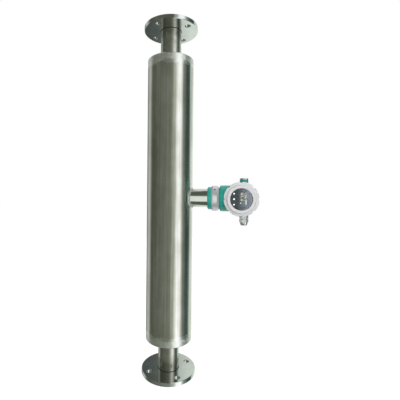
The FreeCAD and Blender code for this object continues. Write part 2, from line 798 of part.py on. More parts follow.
def make_o_ring(label, place, ring_dia, height):
    """Rubber ring of round section."""
    body = new_body(label, place)
    section = circles(body, "section", [(ring_dia, height, "seal_dia / 2")], plane="XZ_Plane")
    spin(body, "ring", section)


def make_clamp_ring():
    """Ring with bevelled flanks that holds the housing's spigot, with tapped holes round it."""
    body = new_body("clamp_ring", ON_RING)
    revolve(body, "band", [
        ("hub_od / 2 + fit_gap", ADAPTER_FACE),
        ("ring_od / 2 - ring_drop_in", ADAPTER_FACE),
        ("ring_od / 2", f"{ADAPTER_FACE} + ring_slope_in"),
        ("ring_od / 2", f"{RING_END} - ring_slope_out"),
        ("ring_od / 2 - ring_drop_out", RING_END),
        ("spigot_neck_od / 2 + run_gap", RING_END),
        ("spigot_neck_od / 2 + run_gap", RING_SHOULDER),
        ("hub_od / 2 + fit_gap", RING_SHOULDER),
    ])
    place = circles(body, "grub_place", [("0", GRUB_X, "grub_dia / 2 + fit_gap")], plane="XZ_Plane")
    hole = pocket(body, "grub_hole", place)
    round_pattern(body, "grub_holes", [hole], GRUB_COUNT)


def make_grub_screws():
    """Set screws in the clamp ring, tips against the hub."""
    body = new_body("clamp_grub_screws", ON_RING, group=True)
    tip = "(hub_od / 2 + fit_gap)"
    place = circles(
        body, "screw_round", [("0", GRUB_X, "grub_dia / 2")], plane="XZ_Plane", lift=f"-{tip}"
    )
    screw = pad(body, "screw", place, f"ring_od / 2 - grub_recess - {tip}", reverse=True)
    round_pattern(body, "screws", [screw], GRUB_COUNT)


# Transmitter housing


def make_housing():
    """Cast two-compartment housing: barrel, neck boss with swivel spigot, and two cable entries."""
    body = new_body("transmitter_housing", IN_FRONT)
    revolve(body, "barrel", [
        ("0", f"-({BARREL_REAR} + thread_length)"),
        (THREAD, f"-({BARREL_REAR} + thread_length)"),
        (THREAD, f"-{BARREL_REAR}"),
        (f"{BARREL} - barrel_edge", f"-{BARREL_REAR}"),
        (BARREL, f"-{BARREL_REAR} + barrel_edge"),
        (BARREL, f"{BARREL_FRONT} - barrel_edge"),
        (f"{BARREL} - barrel_edge", BARREL_FRONT),
        (THREAD, BARREL_FRONT),
        (THREAD, f"{BARREL_FRONT} + thread_length"),
        ("0", f"{BARREL_FRONT} + thread_length"),
    ])
    revolve(body, "neck_boss", [
        ("0", "0"),
        ("0", "boss_od / 2"),
        ("-boss_length + boss_bevel", "boss_od / 2"),
        ("-boss_length", "boss_od / 2 - boss_bevel"),
        ("-boss_length", "spigot_neck_od / 2"),
        (f"-{SPIGOT_BACK}", "spigot_neck_od / 2"),
        (f"-{SPIGOT_BACK}", SPIGOT),
        (f"-{SPIGOT_FACE}", SPIGOT),
        (f"-{SPIGOT_FACE}", "0"),
    ], axis="H_Axis")
    for side, reach, upward in (("top", ENTRY_TOP, True), ("bottom", ENTRY_BOTTOM, False)):
        place = circles(
            body, f"{side}_entry_round", [("entry_offset", f"-{ENTRY_DEPTH}", ENTRY_BOSS)],
            plane="XZ_Plane",
        )
        pad(body, f"{side}_entry", place, reach, reverse=upward)
    earth = circles(body, "earth_round", [(EARTH_X, "0", "earth_boss_dia / 2")])
    pad(body, "earth_boss", earth, EARTH_SEAT, reverse=True)
    front_end = f"{BARREL_FRONT} + thread_length"
    rear_end = f"-({BARREL_REAR} + thread_length)"
    revolve(body, "front_cavity", [
        ("0", f"-{PARTITION_FRONT}"),
        (CAVITY, f"-{PARTITION_FRONT}"),
        (CAVITY, front_end),
        ("0", front_end),
    ], cut=True)
    revolve(body, "rear_cavity", [
        ("0", f"-{PARTITION_REAR}"),
        (CAVITY, f"-{PARTITION_REAR}"),
        (CAVITY, rear_end),
        ("0", rear_end),
    ], cut=True)
    wire = circles(body, "wire_round", [("0", "0", "wire_bore / 2")], plane="YZ_Plane")
    pocket(body, "wire_way", wire, f"{SPIGOT_FACE} + ring_gap")
    entry = circles(
        body, "entry_thread_round", [("entry_offset", f"-{ENTRY_DEPTH}", "entry_thread / 2")],
        plane="XZ_Plane",
    )
    pocket(body, "entry_threads", entry, both=True)
    tapped = circles(
        body, "earth_tap_round", [(EARTH_X, "0", "earth_screw_dia / 2 + fit_gap")], lift=f"-{EARTH_SEAT}"
    )
    pocket(body, "earth_tap", tapped, "earth_length", reverse=True)


def make_earth_terminal():
    """Screw and clamp washer on the earth boss behind the neck."""
    seat = (FACING_REAR, (f"{BARREL_X} + {EARTH_X}", EARTH_SEAT, STUB_AXIS))
    washer = new_body("earth_washer", seat)
    revolve(washer, "disc", [
        ("earth_screw_dia / 2 + fit_gap", "0"),
        ("earth_washer_dia / 2", "0"),
        ("earth_washer_dia / 2", "earth_washer"),
        ("earth_screw_dia / 2 + fit_gap", "earth_washer"),
    ])
    screw = new_body("earth_screw", seat)
    head = "earth_washer + earth_head"
    revolve(screw, "turned", [
        ("0", "-earth_length + earth_washer"),
        ("earth_screw_dia / 2", "-earth_length + earth_washer"),
        ("earth_screw_dia / 2", "earth_washer"),
        ("earth_head_dia / 2", "earth_washer"),
        ("earth_head_dia / 2", f"{head} - hex_bevel"),
        ("earth_head_dia / 2 - hex_bevel", head),
        ("0", head),
    ])


# Screw covers


def rim_corners(base):
    """Outer rim of a cover, from the seal pocket round the skirt to the foot of the bezel."""
    rim = f"{base} + thread_length + rim_roof"
    return [
        (SEAL_POCKET, f"{base} + cover_gap"),
        (BARREL, f"{base} + cover_gap"),
        (BARREL, rim),
        (BEZEL, f"{rim} + rim_slope"),
    ]


def thread_corners(base):
    """Inside of a cover's skirt, from the thread's end back to the seal pocket."""
    roof = f"{base} + fit_gap + seal_dia + run_gap"
    return [
        (THREAD_BORE, f"{base} + thread_length + thread_relief"),
        (THREAD_BORE, roof),
        (SEAL_POCKET, roof),
    ]


def add_lugs(body, base):
    """Grip lugs round the skirt."""
    start = f"{base} + cover_gap + lug_bevel"
    top = f"{base} + thread_length + rim_roof"
    lug = revolve(body, "lug", [
        (f"{BARREL} - lug_bevel", start),
        (COVER, start),
        (COVER, f"{top} - lug_bevel"),
        (f"{COVER} - lug_bevel", top),
        (f"{BARREL} - lug_bevel", top),
    ], angle="lug_angle")
    round_pattern(body, "lugs", [lug], LUG_COUNT)


def make_front_cover():
    """Screw cover with a round window."""
    body = new_body("front_cover", FRONT_COVER)
    revolve(body, "shell", rim_corners(BARREL_FRONT) + [
        (BEZEL, f"{COVER_FRONT} - bezel_edge"),
        (f"{BEZEL} - bezel_edge", COVER_FRONT),
        (f"{WINDOW} + window_edge", COVER_FRONT),
        (WINDOW, f"{COVER_FRONT} - window_edge"),
        (WINDOW, GLASS_SEAT),
        (f"{GLASS} + fit_gap", GLASS_SEAT),
        (f"{GLASS} + fit_gap", f"{BARREL_FRONT} + thread_length + thread_relief"),
    ] + thread_corners(BARREL_FRONT))
    add_lugs(body, BARREL_FRONT)


def make_rear_cover():
    """Blind screw cover over the terminals, with a shallow dished face."""
    body = new_body("rear_cover", REAR_COVER)
    inside = f"{BARREL_REAR} + thread_length + thread_relief"
    face = f"{inside} + rear_plate + dish_depth"
    revolve(body, "shell", rim_corners(BARREL_REAR) + [
        (BEZEL, f"{face} - bezel_edge"),
        (f"{BEZEL} - bezel_edge", face),
        (WINDOW, face),
        (f"{WINDOW} - dish_depth", f"{face} - dish_depth"),
        ("0", f"{face} - dish_depth"),
        ("0", inside),
    ] + thread_corners(BARREL_REAR))
    add_lugs(body, BARREL_REAR)


def make_flat_ring(label, place, bore, rim, start, end):
    """Ring of square section between two heights."""
    body = new_body(label, place)
    revolve(body, "ring", [(bore, start), (rim, start), (rim, end), (bore, end)])


def make_window():
    """Glass between its gasket and the ring that screws it in."""
    make_flat_ring("window_gasket", IN_FRONT, f"{WINDOW} + fit_gap", GLASS, GLASS_FRONT, GLASS_SEAT)
    glass = new_body("window_glass", IN_FRONT)
    disc = circles(glass, "disc_round", [("0", "0", GLASS)], lift=GLASS_BACK)
    pad(glass, "disc", disc, "glass_thick")
    make_flat_ring(
        "window_retainer", IN_FRONT, f"{WINDOW} + retainer_step", GLASS,
        f"{GLASS_BACK} - retainer_thick", GLASS_BACK,
    )


# Display and electronics


def make_display():
    """Plug-in display: a cup with its board, face plate, lit screen and three key lenses."""
    carrier = new_body("display_carrier", IN_FRONT)
    revolve(carrier, "cup", [
        ("0", DISPLAY_BACK),
        (DISPLAY, DISPLAY_BACK),
        (DISPLAY, PLATE_BACK),
        (f"{DISPLAY} - carrier_wall", PLATE_BACK),
        (f"{DISPLAY} - carrier_wall", f"{DISPLAY_BACK} + carrier_wall"),
        ("0", f"{DISPLAY_BACK} + carrier_wall"),
    ])
    board = new_body("display_board", IN_FRONT)
    board_round = circles(
        board, "board_round", [("0", "0", f"{DISPLAY} - carrier_wall - fit_gap")],
        lift=f"{PLATE_BACK} - board_thick",
    )
    pad(board, "disc", board_round, "board_thick")
    make_display_face()


def make_display_face():
    """Face plate with the screen's window and the key holes, and what sits in them."""
    keys = [("-key_reach", f"{row} * key_pitch") for row in KEY_ROWS]
    plate = new_body("display_face_plate", IN_FRONT)
    disc = circles(plate, "disc_round", [("0", "0", DISPLAY)], lift=PLATE_BACK)
    pad(plate, "disc", disc, "plate_thick")
    pocket(plate, "screen_window", screen_outline(plate, "fit_gap"), reverse=True)
    holes = circles(plate, "key_rounds", [(x, y, "key_dia / 2 + fit_gap") for x, y in keys])
    pocket(plate, "key_holes", holes, reverse=True)
    screen = new_body("display_screen", IN_FRONT)
    pad(screen, "panel", screen_outline(screen, "0", PLATE_BACK), "plate_thick - screen_sink")
    lenses = new_body("key_lenses", IN_FRONT, group=True)
    rounds = circles(lenses, "lens_rounds", [(x, y, "key_dia / 2") for x, y in keys], lift=PLATE_BACK)
    pad(lenses, "lens", rounds, "plate_thick")


def screen_outline(body, margin, lift="0"):
    """Rectangle of the lit screen, grown by a margin."""
    left = f"screen_offset - screen_width / 2 - {margin}"
    right = f"screen_offset + screen_width / 2 + {margin}"
    low = f"-screen_height / 2 - {margin}"
    high = f"screen_height / 2 + {margin}"
    corners = [(left, low), (right, low), (right, high), (left, high)]
    return outline(body, "screen_outline", corners, plane="XY_Plane", lift=lift)


def make_electronics():
    """Potted electronics can on the partition, held by three screws."""
    module = new_body("electronics_module", IN_FRONT)
    top = f"({DISPLAY_BACK} - run_gap)"
    revolve(module, "can", [
        ("0", f"-{PARTITION_FRONT}"),
        (MODULE, f"-{PARTITION_FRONT}"),
        (MODULE, f"{top} - module_edge"),
        (f"{MODULE} - module_edge", top),
        ("0", top),
    ])
    place = circles(
        module, "screw_well", [(MODULE_SCREW, "0", "module_screw_head / 2 + fit_gap")], lift=top
    )
    well = pocket(module, "well", place, "module_sink")
    bore_place = circles(
        module, "screw_bore", [(MODULE_SCREW, "0", "module_screw_dia / 2 + fit_gap")], lift=top
    )
    bore = pocket(module, "bore", bore_place, "module_sink + module_screw_length")
    round_pattern(module, "wells", [well, bore], MODULE_SCREW_COUNT)
    screws = new_body("module_screws", IN_FRONT, group=True)
    seat = f"{top} - module_sink"
    shank_place = circles(
        screws, "shank_round", [(MODULE_SCREW, "0", "module_screw_dia / 2")], lift=seat
    )
    shank = pad(screws, "shank", shank_place, "module_screw_length", reverse=True)
    head_place = circles(
        screws, "head_round", [(MODULE_SCREW, "0", "module_screw_head / 2")], lift=seat
    )
    head = pad(screws, "head", head_place, "module_head_high")
    round_pattern(screws, "set", [shank, head], MODULE_SCREW_COUNT)


def make_terminals():
    """Stepped terminal strip on the rear face of the partition, and its clamp screws."""
    strip = new_body("terminal_block", AT_REAR)
    low, high = "-terminal_depth / 2", "terminal_depth / 2"
    face = f"{PARTITION_REAR} + terminal_high"
    section = outline(strip, "section", [
        (low, PARTITION_REAR),
        (high, PARTITION_REAR),
        (high, face),
        (f"{high} - terminal_ledge", face),
        (f"{high} - terminal_ledge", f"{face} - terminal_step / 3"),
        (f"{low} + terminal_ledge", f"{face} - terminal_step / 3"),
        (f"{low} + terminal_ledge", f"{face} - terminal_step"),
        (low, f"{face} - terminal_step"),
    ], plane="YZ_Plane")
    pad(strip, "strip", section, "terminal_width", both=True)
    first = f"-terminal_pitch * {TERMINAL_COUNT - 1} / 2"
    span = f"terminal_pitch * {TERMINAL_COUNT - 1}"
    deck = f"{face} - terminal_step / 3"
    place = circles(strip, "screw_place", [(first, "0", "terminal_screw_dia / 2 + fit_gap")], lift=deck)
    hole = pocket(strip, "screw_hole", place, "terminal_screw_length")
    row_pattern(strip, "screw_holes", [hole], "X_Axis", span, TERMINAL_COUNT)
    screws = new_body("terminal_screws", AT_REAR, group=True)
    start = f"{deck} - terminal_screw_length"
    screw_place = circles(screws, "screw_round", [(first, "0", "terminal_screw_dia / 2")], lift=start)
    screw = pad(screws, "screw", screw_place, "terminal_screw_length")
    row_pattern(screws, "row", [screw], "X_Axis", span, TERMINAL_COUNT)


# Cable entries


def make_plug():
    """Blind plug with a hexagon socket, and the washer under its head."""
    make_flat_ring("plug_seal", AT_PLUG, "entry_thread / 2", WASHER, "fit_gap", "washer_thick")
    plug = new_body("blind_plug", AT_PLUG)
    seat = "washer_thick + fit_gap"
    top = f"{seat} + plug_head"
    revolve(plug, "turned", [
        ("0", "-shank_length"),
        (SHANK, "-shank_length"),
        (SHANK, seat),
        (WASHER, seat),
        (WASHER, f"{top} - hex_bevel"),
        (f"{WASHER} - hex_bevel", top),
        ("0", top),
    ])
    socket = outline(plug, "socket_outline", hexagon("plug_socket"), plane="XY_Plane", lift=top)
    pocket(plug, "socket", socket, "plug_socket_depth")


def bevel_hexagon(body, name, flats, end, inward):
    """Turn the corners off one end of a hexagon."""
    corner = f"{flats} / sqrt(3)"
    revolve(body, name, [
        (f"{flats} / 2", end),
        (f"{corner} + hex_bevel", end),
        (f"{corner} + hex_bevel", f"{end} {inward} 2 * hex_bevel"),
        (corner, f"{end} {inward} hex_bevel"),
    ], cut=True)


def make_gland():
    """Cable gland: body with its washer, rubber seal and cap nut."""
    make_flat_ring(
        "gland_washer", AT_GLAND, "entry_thread / 2 + fit_gap", WASHER, "0", "washer_thick"
    )
    shell = new_body("gland_body", AT_GLAND)
    flats = outline(shell, "hex_outline", hexagon("gland_flats"), plane="XY_Plane", lift="washer_thick")
    pad(shell, "hex", flats, "gland_hex")
    bevel_hexagon(shell, "hex_corners", "gland_flats", "washer_thick", "+")
    revolve(shell, "turned", [
        ("0", "-shank_length"),
        ("entry_thread / 2 - fit_gap", "-shank_length"),
        ("entry_thread / 2 - fit_gap", "washer_thick"),
        (GLAND_NECK, GLAND_NECK_START),
        (GLAND_NECK, GLAND_NECK_END),
        ("0", GLAND_NECK_END),
    ])
    revolve(shell, "bore", [
        ("0", "-shank_length"),
        (GLAND_BORE, "-shank_length"),
        (GLAND_BORE, f"{GLAND_NECK_END} - gland_seal_seat"),
        (GLAND_SEAT, f"{GLAND_NECK_END} - gland_seal_seat"),
        (GLAND_SEAT, GLAND_NECK_END),
        ("0", GLAND_NECK_END),
    ], cut=True)
    make_flat_ring(
        "gland_seal", AT_GLAND, "cable_bore / 2", GLAND_SEAL,
        f"{GLAND_NECK_END} - gland_seal_seat + run_gap", GLAND_SEAL_END,
    )
    make_gland_nut()


def make_gland_nut():
    """Cap nut: hexagon with a domed end."""
    nut = new_body("gland_nut", AT_GLAND)
    flats = outline(nut, "hex_outline", hexagon("gland_flats"), plane="XY_Plane", lift=NUT_START)
    pad(nut, "hex", flats, "nut_hex")
    bevel_hexagon(nut, "hex_corners", "gland_flats", NUT_START, "+")
    revolve(nut, "dome", [
        ("0", f"{NUT_HEX_END} - nut_hex / 2"),
        ("gland_flats / 2 - run_gap", f"{NUT_HEX_END} - nut_hex / 2"),
        ("gland_flats / 2 - run_gap", f"{NUT_END} - nut_dome"),
        ("gland_flats / 2 - nut_dome / 4", f"{NUT_END} - nut_dome / 3"),
        ("gland_flats / 2 - nut_dome / 2", NUT_END),
        ("0", NUT_END),
    ])
    revolve(nut, "bore", [
        ("0", NUT_START),
        (f"{GLAND_NECK} + run_gap", NUT_START),
        (f"{GLAND_NECK} + run_gap", NUT_SEAT),
        (GLAND_BORE, NUT_SEAT),
        (GLAND_BORE, NUT_END),
        ("0", NUT_END),
    ], cut=True)


def check_model():
    """Stop unless every feature was built and every piece is a sound solid."""
    for item in doc.Objects:
        if "Invalid" in item.State or "Error" in item.State:
            raise RuntimeError(f"{item.Name} failed: {item.State}")
    for body in nodes:
        if body.Shape.isNull() or not body.Shape.isValid() or not body.Shape.Solids:
            raise RuntimeError(f"{body.Label} has no sound shape")


for end in ENDS:
    make_flange(end)
    make_neck(end)
    make_end_cap(end)
    make_manifold(end)
    make_brace_plates(end)
make_case_tube()
make_measuring_tube("front", "-")
make_measuring_tube("rear", "")
STATIONS = {"drive": "", "upper_pickoff": " + pickoff_reach", "lower_pickoff": " - pickoff_reach"}
for name, height in STATIONS.items():
    make_brackets(f"{name}_brackets", height)
    make_coil(f"{name}_coil", height)
    make_magnet(f"{name}_magnet", height)
make_temperature_sensor()
make_signal_wires()
make_stub_tube()
make_feedthrough()
make_neck_adapter()
make_o_ring("swivel_seal", ON_STUB, "swivel_seal_dia / 2", f"{HUB_END} + run_gap - fit_gap - seal_dia / 2")
make_clamp_ring()
make_grub_screws()
make_housing()
make_earth_terminal()
make_front_cover()
make_window()
make_o_ring("front_cover_seal", IN_FRONT, COVER_SEAL, f"{BARREL_FRONT} + fit_gap + seal_dia / 2")
make_rear_cover()
make_o_ring("rear_cover_seal", AT_REAR, COVER_SEAL, f"{BARREL_REAR} + fit_gap + seal_dia / 2")
make_display()
make_electronics()
make_terminals()
make_plug()
make_gland()

doc.recompute()
check_model()
os.makedirs("parts", exist_ok=True)
for body in nodes:
    body.Shape.exportStep(f"parts/{body.Label}.step")
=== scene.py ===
import functools
import math

import bmesh
import bpy
from mathutils import Matrix, Vector


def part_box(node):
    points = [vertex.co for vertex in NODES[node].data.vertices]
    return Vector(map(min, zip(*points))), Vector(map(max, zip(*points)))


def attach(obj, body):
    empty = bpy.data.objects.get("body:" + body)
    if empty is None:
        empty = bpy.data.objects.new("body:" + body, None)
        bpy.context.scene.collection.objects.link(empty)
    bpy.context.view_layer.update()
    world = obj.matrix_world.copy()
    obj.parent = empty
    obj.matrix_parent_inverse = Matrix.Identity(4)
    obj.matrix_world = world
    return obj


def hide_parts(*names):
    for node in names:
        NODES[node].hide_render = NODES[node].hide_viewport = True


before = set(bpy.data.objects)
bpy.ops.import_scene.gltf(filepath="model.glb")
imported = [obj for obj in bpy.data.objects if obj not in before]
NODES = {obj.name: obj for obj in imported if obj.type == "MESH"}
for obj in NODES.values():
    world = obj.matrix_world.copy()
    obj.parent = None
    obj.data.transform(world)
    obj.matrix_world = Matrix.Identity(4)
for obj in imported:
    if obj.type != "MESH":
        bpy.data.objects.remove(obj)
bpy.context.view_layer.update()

bl_info = {
    "name": "Coriolis Flow Meter Finish",
    "version": (1, 0, 0),
    "blender": (4, 5, 0),
    "location": "3D View > Sidebar > Flow Meter",
    "description": "Gives a coriolis mass flow meter its steels, paints, welds, threads and display",
    "category": "Object",
}

MM = 0.001
FULL_TURN = 2 * math.pi
QUARTER_TURN = math.pi / 2


# Sizes read from the frame

def middle(node):
    """Centre of a node's box, in metres."""
    low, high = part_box(node)
    return (low + high) / 2


def half_width(node, axis):
    """Half of a node's box along one axis, in metres."""
    low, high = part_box(node)
    return (high[axis] - low[axis]) / 2


CASE_RADIUS = half_width("case_tube", 1)
CASE_HALF = half_width("case_tube", 2)
CASE_MIDDLE = middle("case_tube").z
STUB_RADIUS = half_width("stub_tube", 1)
STUB_HEIGHT = middle("stub_tube").z
NECK_RADIUS = half_width("lower_neck", 0)
# Heights at which the necks leave the end caps, and at which they enter the flanges
NECK_ROOTS = (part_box("lower_end_cap")[0].z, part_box("upper_end_cap")[1].z)
NECK_ENDS = (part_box("lower_flange")[1].z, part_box("upper_flange")[0].z)
BARREL = middle("rear_cover")

# Set screws of the clamp ring, the first one up and to the front
SCREW_COUNT = 3
SCREW_CLOCK = math.radians(45)


def linear(hex_colour):
    """An sRGB hex colour as linear red, green, blue and full alpha."""
    channels = [int(hex_colour[at:at + 2], 16) / 255 for at in (1, 3, 5)]
    return [c / 12.92 if c <= 0.04045 else ((c + 0.055) / 1.055) ** 2.4 for c in channels] + [1.0]


# Settings that a user would change

class MeterFinish(bpy.types.PropertyGroup):
    """Paints of the transmitter, and sizes of the welds, seals, threads, screws and display."""

    housing_paint: bpy.props.FloatVectorProperty(
        name="Housing Paint", description="Powder coat of the housing and the neck adapter",
        default=linear("#22a899"), size=4, min=0.0, max=1.0, subtype="COLOR")
    housing_shade: bpy.props.FloatVectorProperty(
        name="Housing Shade", description="Darker tone that clouds the housing's powder coat",
        default=linear("#0d9688"), size=4, min=0.0, max=1.0, subtype="COLOR")
    cover_paint: bpy.props.FloatVectorProperty(
        name="Cover Paint", description="Powder coat of the two covers",
        default=linear("#e2e2e3"), size=4, min=0.0, max=1.0, subtype="COLOR")
    cover_shade: bpy.props.FloatVectorProperty(
        name="Cover Shade", description="Darker tone that clouds the covers' powder coat",
        default=linear("#d6d6d7"), size=4, min=0.0, max=1.0, subtype="COLOR")
    bead_radius: bpy.props.FloatProperty(
        name="Bead Radius", description="Half the width of a weld bead",
        default=2.2 * MM, min=0.5 * MM, unit="LENGTH")
    bead_ripple: bpy.props.FloatProperty(
        name="Bead Ripple", description="Distance from one ripple of a weld bead to the next",
        default=2.4 * MM, min=0.5 * MM, unit="LENGTH")
    # Radius of the black rubber ring at each flange, a painted shade that stands in for the shadow in the
    # gap where the neck enters
    seal_radius: bpy.props.FloatProperty(
        name="Shade Ring Radius", description="Half the width of the seal round each neck at its flange",
        default=1.2 * MM, min=0.2 * MM, unit="LENGTH")
    thread_depth: bpy.props.FloatProperty(
        name="Thread Depth", description="How far a thread's crest stands out of its cylinder",
        default=0.2 * MM, min=0.05 * MM, unit="LENGTH")
    cover_pitch: bpy.props.FloatProperty(
        name="Cover Pitch", description="Pitch of the threads that carry the two covers",
        default=2.0 * MM, min=0.5 * MM, unit="LENGTH")
    collar_radius: bpy.props.FloatProperty(
        name="Collar Radius", description="Radius of the housing's two threaded collars",
        default=42.0 * MM, min=10 * MM, unit="LENGTH")
    collar_length: bpy.props.FloatProperty(
        name="Collar Length", description="Length of the thread on each collar",
        default=9.0 * MM, min=2 * MM, unit="LENGTH")
    entry_pitch: bpy.props.FloatProperty(
        name="Entry Pitch", description="Pitch of the threads of the gland and the blind plug",
        default=1.5 * MM, min=0.5 * MM, unit="LENGTH")
    gland_radius: bpy.props.FloatProperty(
        name="Gland Thread Radius", description="Radius of the gland's neck under its cap nut",
        default=9.0 * MM, min=2 * MM, unit="LENGTH")
    plug_radius: bpy.props.FloatProperty(
        name="Plug Thread Radius", description="Radius of the blind plug's shank",
        default=9.7 * MM, min=2 * MM, unit="LENGTH")
    entry_length: bpy.props.FloatProperty(
        name="Entry Thread Length", description="Length of the threads of the gland and the blind plug",
        default=8.5 * MM, min=2 * MM, unit="LENGTH")
    socket_flats: bpy.props.FloatProperty(
        name="Socket Flats", description="Width across flats of the set screws' sockets",
        default=2.5 * MM, min=1 * MM, unit="LENGTH")
    screw_recess: bpy.props.FloatProperty(
        name="Screw Recess", description="How far the set screws lie below the clamp ring's crest",
        default=0.8 * MM, min=0.0, unit="LENGTH")
    upper_pixel: bpy.props.FloatProperty(
        name="Upper Pixel", description="Spacing of the lit dots on the display's first line",
        default=0.8 * MM, min=0.2 * MM, unit="LENGTH")
    lower_pixel: bpy.props.FloatProperty(
        name="Lower Pixel", description="Spacing of the lit dots on the display's second line",
        default=1.0 * MM, min=0.2 * MM, unit="LENGTH")
    upper_value: bpy.props.StringProperty(
        name="Upper Value", description="Digits on the display's first line", default="120.5")
    lower_value: bpy.props.StringProperty(
        name="Lower Value", description="Digits on the display's second line", default="83.6")


class MeterStage(bpy.types.PropertyGroup):
    """Place of the camera and level of the light."""

    azimuth: bpy.props.FloatProperty(
        name="Azimuth", description="Turn of the camera round the tube, from straight in front",
        default=math.radians(10), subtype="ANGLE")
    roll: bpy.props.FloatProperty(
        name="Roll", description="Lean of the picture", default=math.radians(0.5), subtype="ANGLE")
    distance: bpy.props.FloatProperty(
        name="Distance", description="From the tube's axis to the eye", default=0.943, unit="LENGTH")
    side_step: bpy.props.FloatProperty(
        name="Side Step", description="How far the eye stands right of the tube's axis",
        default=0.0065, unit="LENGTH")
    eye_height: bpy.props.FloatProperty(
        name="Eye Height", description="Height of the eye over the floor", default=0.572, unit="LENGTH")
    lens: bpy.props.FloatProperty(
        name="Lens", description="Focal length on a 36 mm sensor, in millimetres",
        default=27.27, min=1.0, unit="CAMERA")
    shift_x: bpy.props.FloatProperty(
        name="Shift X", description="Sideways shift of the lens", default=0.07)
    shift_y: bpy.props.FloatProperty(
        name="Shift Y", description="Upward shift of the lens", default=-0.03325)
    sky: bpy.props.FloatProperty(
        name="Sky", description="Level of the soft light from all round", default=0.35, min=0.0)
    key_lamp: bpy.props.FloatProperty(
        name="Key Lamp", description="Power of the lamp over the camera",
        default=39.0, min=0.0, unit="POWER")
    top_lamp: bpy.props.FloatProperty(
        name="Top Lamp", description="Power of the lamp overhead", default=13.0, min=0.0, unit="POWER")
    back_lamp: bpy.props.FloatProperty(
        name="Back Lamp", description="Power of the lamp behind the meter",
        default=24.0, min=0.0, unit="POWER")
    stub_box: bpy.props.FloatProperty(
        name="Stub Box", description="Power of the soft box mirrored in the stub",
        default=1.5, min=0.0, unit="POWER")
    fitting_box: bpy.props.FloatProperty(
        name="Fitting Box", description="Power of the soft box mirrored in the ring, gland and plug",
        default=1.2, min=0.0, unit="POWER")
    window_box: bpy.props.FloatProperty(
        name="Window Box", description="Power of the soft box mirrored in the window",
        default=0.28, min=0.0, unit="POWER")


# Node helpers

# Span that holds most values of a noise
NOISE_LOW = 0.3
NOISE_HIGH = 0.7


def add(tree, kind, inputs=None, **settings):
    """Add a node with its settings, and fill its inputs with values or with other nodes' outputs.

    Inputs go by name, or by number where a node has several of one name. On a Mix node 0 is the share, 2 and
    3 are the numbers and 6 and 7 the colours that it mixes.
    """
    node = tree.nodes.new(kind)
    for name, value in settings.items():
        setattr(node, name, value)
    for key, value in (inputs or {}).items():
        if isinstance(value, bpy.types.NodeSocket):
            tree.links.new(value, node.inputs[key])
        else:
            node.inputs[key].default_value = value
    return node


def new_material(name):
    """An empty node material and its tree."""
    material = bpy.data.materials.new(name)
    material.use_nodes = True
    material.node_tree.nodes.clear()
    return material, material.node_tree


def grain(tree, size, stretch=(1, 1, 1), detail=3.0):
    """Noise on Object coordinates whose patches are size metres wide, times stretch along each axis."""
    place = add(tree, "ShaderNodeTexCoord")
    scale = [1 / (size * s) for s in stretch]
    mapping = add(tree, "ShaderNodeMapping", {"Vector": place.outputs["Object"], "Scale": scale})
    noise = add(tree, "ShaderNodeTexNoise",
                {"Vector": mapping.outputs["Vector"], "Scale": 1.0, "Detail": detail})
    return noise.outputs["Fac"]


def worn(dark, light, patch, roughness, relief, depth, metallic=0.0, shader=None):
    """A material whose colour wanders between two tones, with a matching roughness and a fine relief.

    The tones are hex colours, or linear ones from the settings. patch is the grain of the colour, relief the
    grain of the bump and depth its height in metres. shader fills further inputs of the Principled BSDF.
    """
    material, tree = new_material("finish")
    first, second = (linear(tone) if isinstance(tone, str) else tone for tone in (dark, light))
    share = grain(tree, **patch)
    colour = add(tree, "ShaderNodeMix", {0: share, 6: first, 7: second}, data_type="RGBA")
    rough = add(tree, "ShaderNodeMapRange",
                {"Value": share, "From Min": NOISE_LOW, "From Max": NOISE_HIGH,
                 "To Min": roughness[0], "To Max": roughness[1]})
    bump = add(tree, "ShaderNodeBump",
               {"Height": grain(tree, **relief), "Distance": depth, "Strength": 1.0})
    inputs = {"Base Color": colour.outputs[2], "Metallic": metallic, "Roughness": rough.outputs["Result"],
              "Normal": bump.outputs["Normal"]}
    bsdf = add(tree, "ShaderNodeBsdfPrincipled", {**inputs, **(shader or {})})
    add(tree, "ShaderNodeOutputMaterial", {"Surface": bsdf.outputs["BSDF"]})
    return material


# Materials, each made once

@functools.cache
def finished(make):
    """The material that a function makes, named after it, made on the first call and shared after it."""
    material = make()
    material.name = make.__name__
    return material


def dress(nodes, make):
    """Give CAD nodes one material."""
    for name in nodes:
        NODES[name].data.materials.clear()
        NODES[name].data.materials.append(finished(make))


# Width and depth of the scallops that a flap disc leaves on ground steel
SCALLOP = {"size": 10 * MM, "detail": 2.0}
SCALLOP_DEPTH = 0.3 * MM


def near_welds(tree):
    """One close to the welds of the case's ends and of the stub, nought past a ragged edge."""
    width = 11 * MM
    fade = 6 * MM
    raggedness = 30 * MM
    tatter = 22 * MM
    place = add(tree, "ShaderNodeTexCoord").outputs["Object"]
    axes = add(tree, "ShaderNodeSeparateXYZ", {"Vector": place})
    height = add(tree, "ShaderNodeMath", {0: axes.outputs["Z"], 1: CASE_MIDDLE}, operation="SUBTRACT")
    away = add(tree, "ShaderNodeMath", {0: height.outputs[0]}, operation="ABSOLUTE")
    from_end = add(tree, "ShaderNodeMath", {0: CASE_HALF, 1: away.outputs[0]}, operation="SUBTRACT")
    root = add(tree, "ShaderNodeVectorMath", {0: place, 1: (CASE_RADIUS, 0, STUB_HEIGHT)},
               operation="DISTANCE")
    from_stub = add(tree, "ShaderNodeMath", {0: root.outputs["Value"], 1: STUB_RADIUS},
                    operation="SUBTRACT")
    from_weld = add(tree, "ShaderNodeMath", {0: from_end.outputs[0], 1: from_stub.outputs[0]},
                    operation="MINIMUM")
    edge = add(tree, "ShaderNodeMath",
               {0: grain(tree, tatter, detail=4.0), 1: raggedness, 2: from_weld.outputs[0]},
               operation="MULTIPLY_ADD")
    start = width + raggedness / 2
    ground = add(tree, "ShaderNodeMapRange",
                 {"Value": edge.outputs[0], "From Min": start, "From Max": start - fade})
    return ground.outputs["Result"]


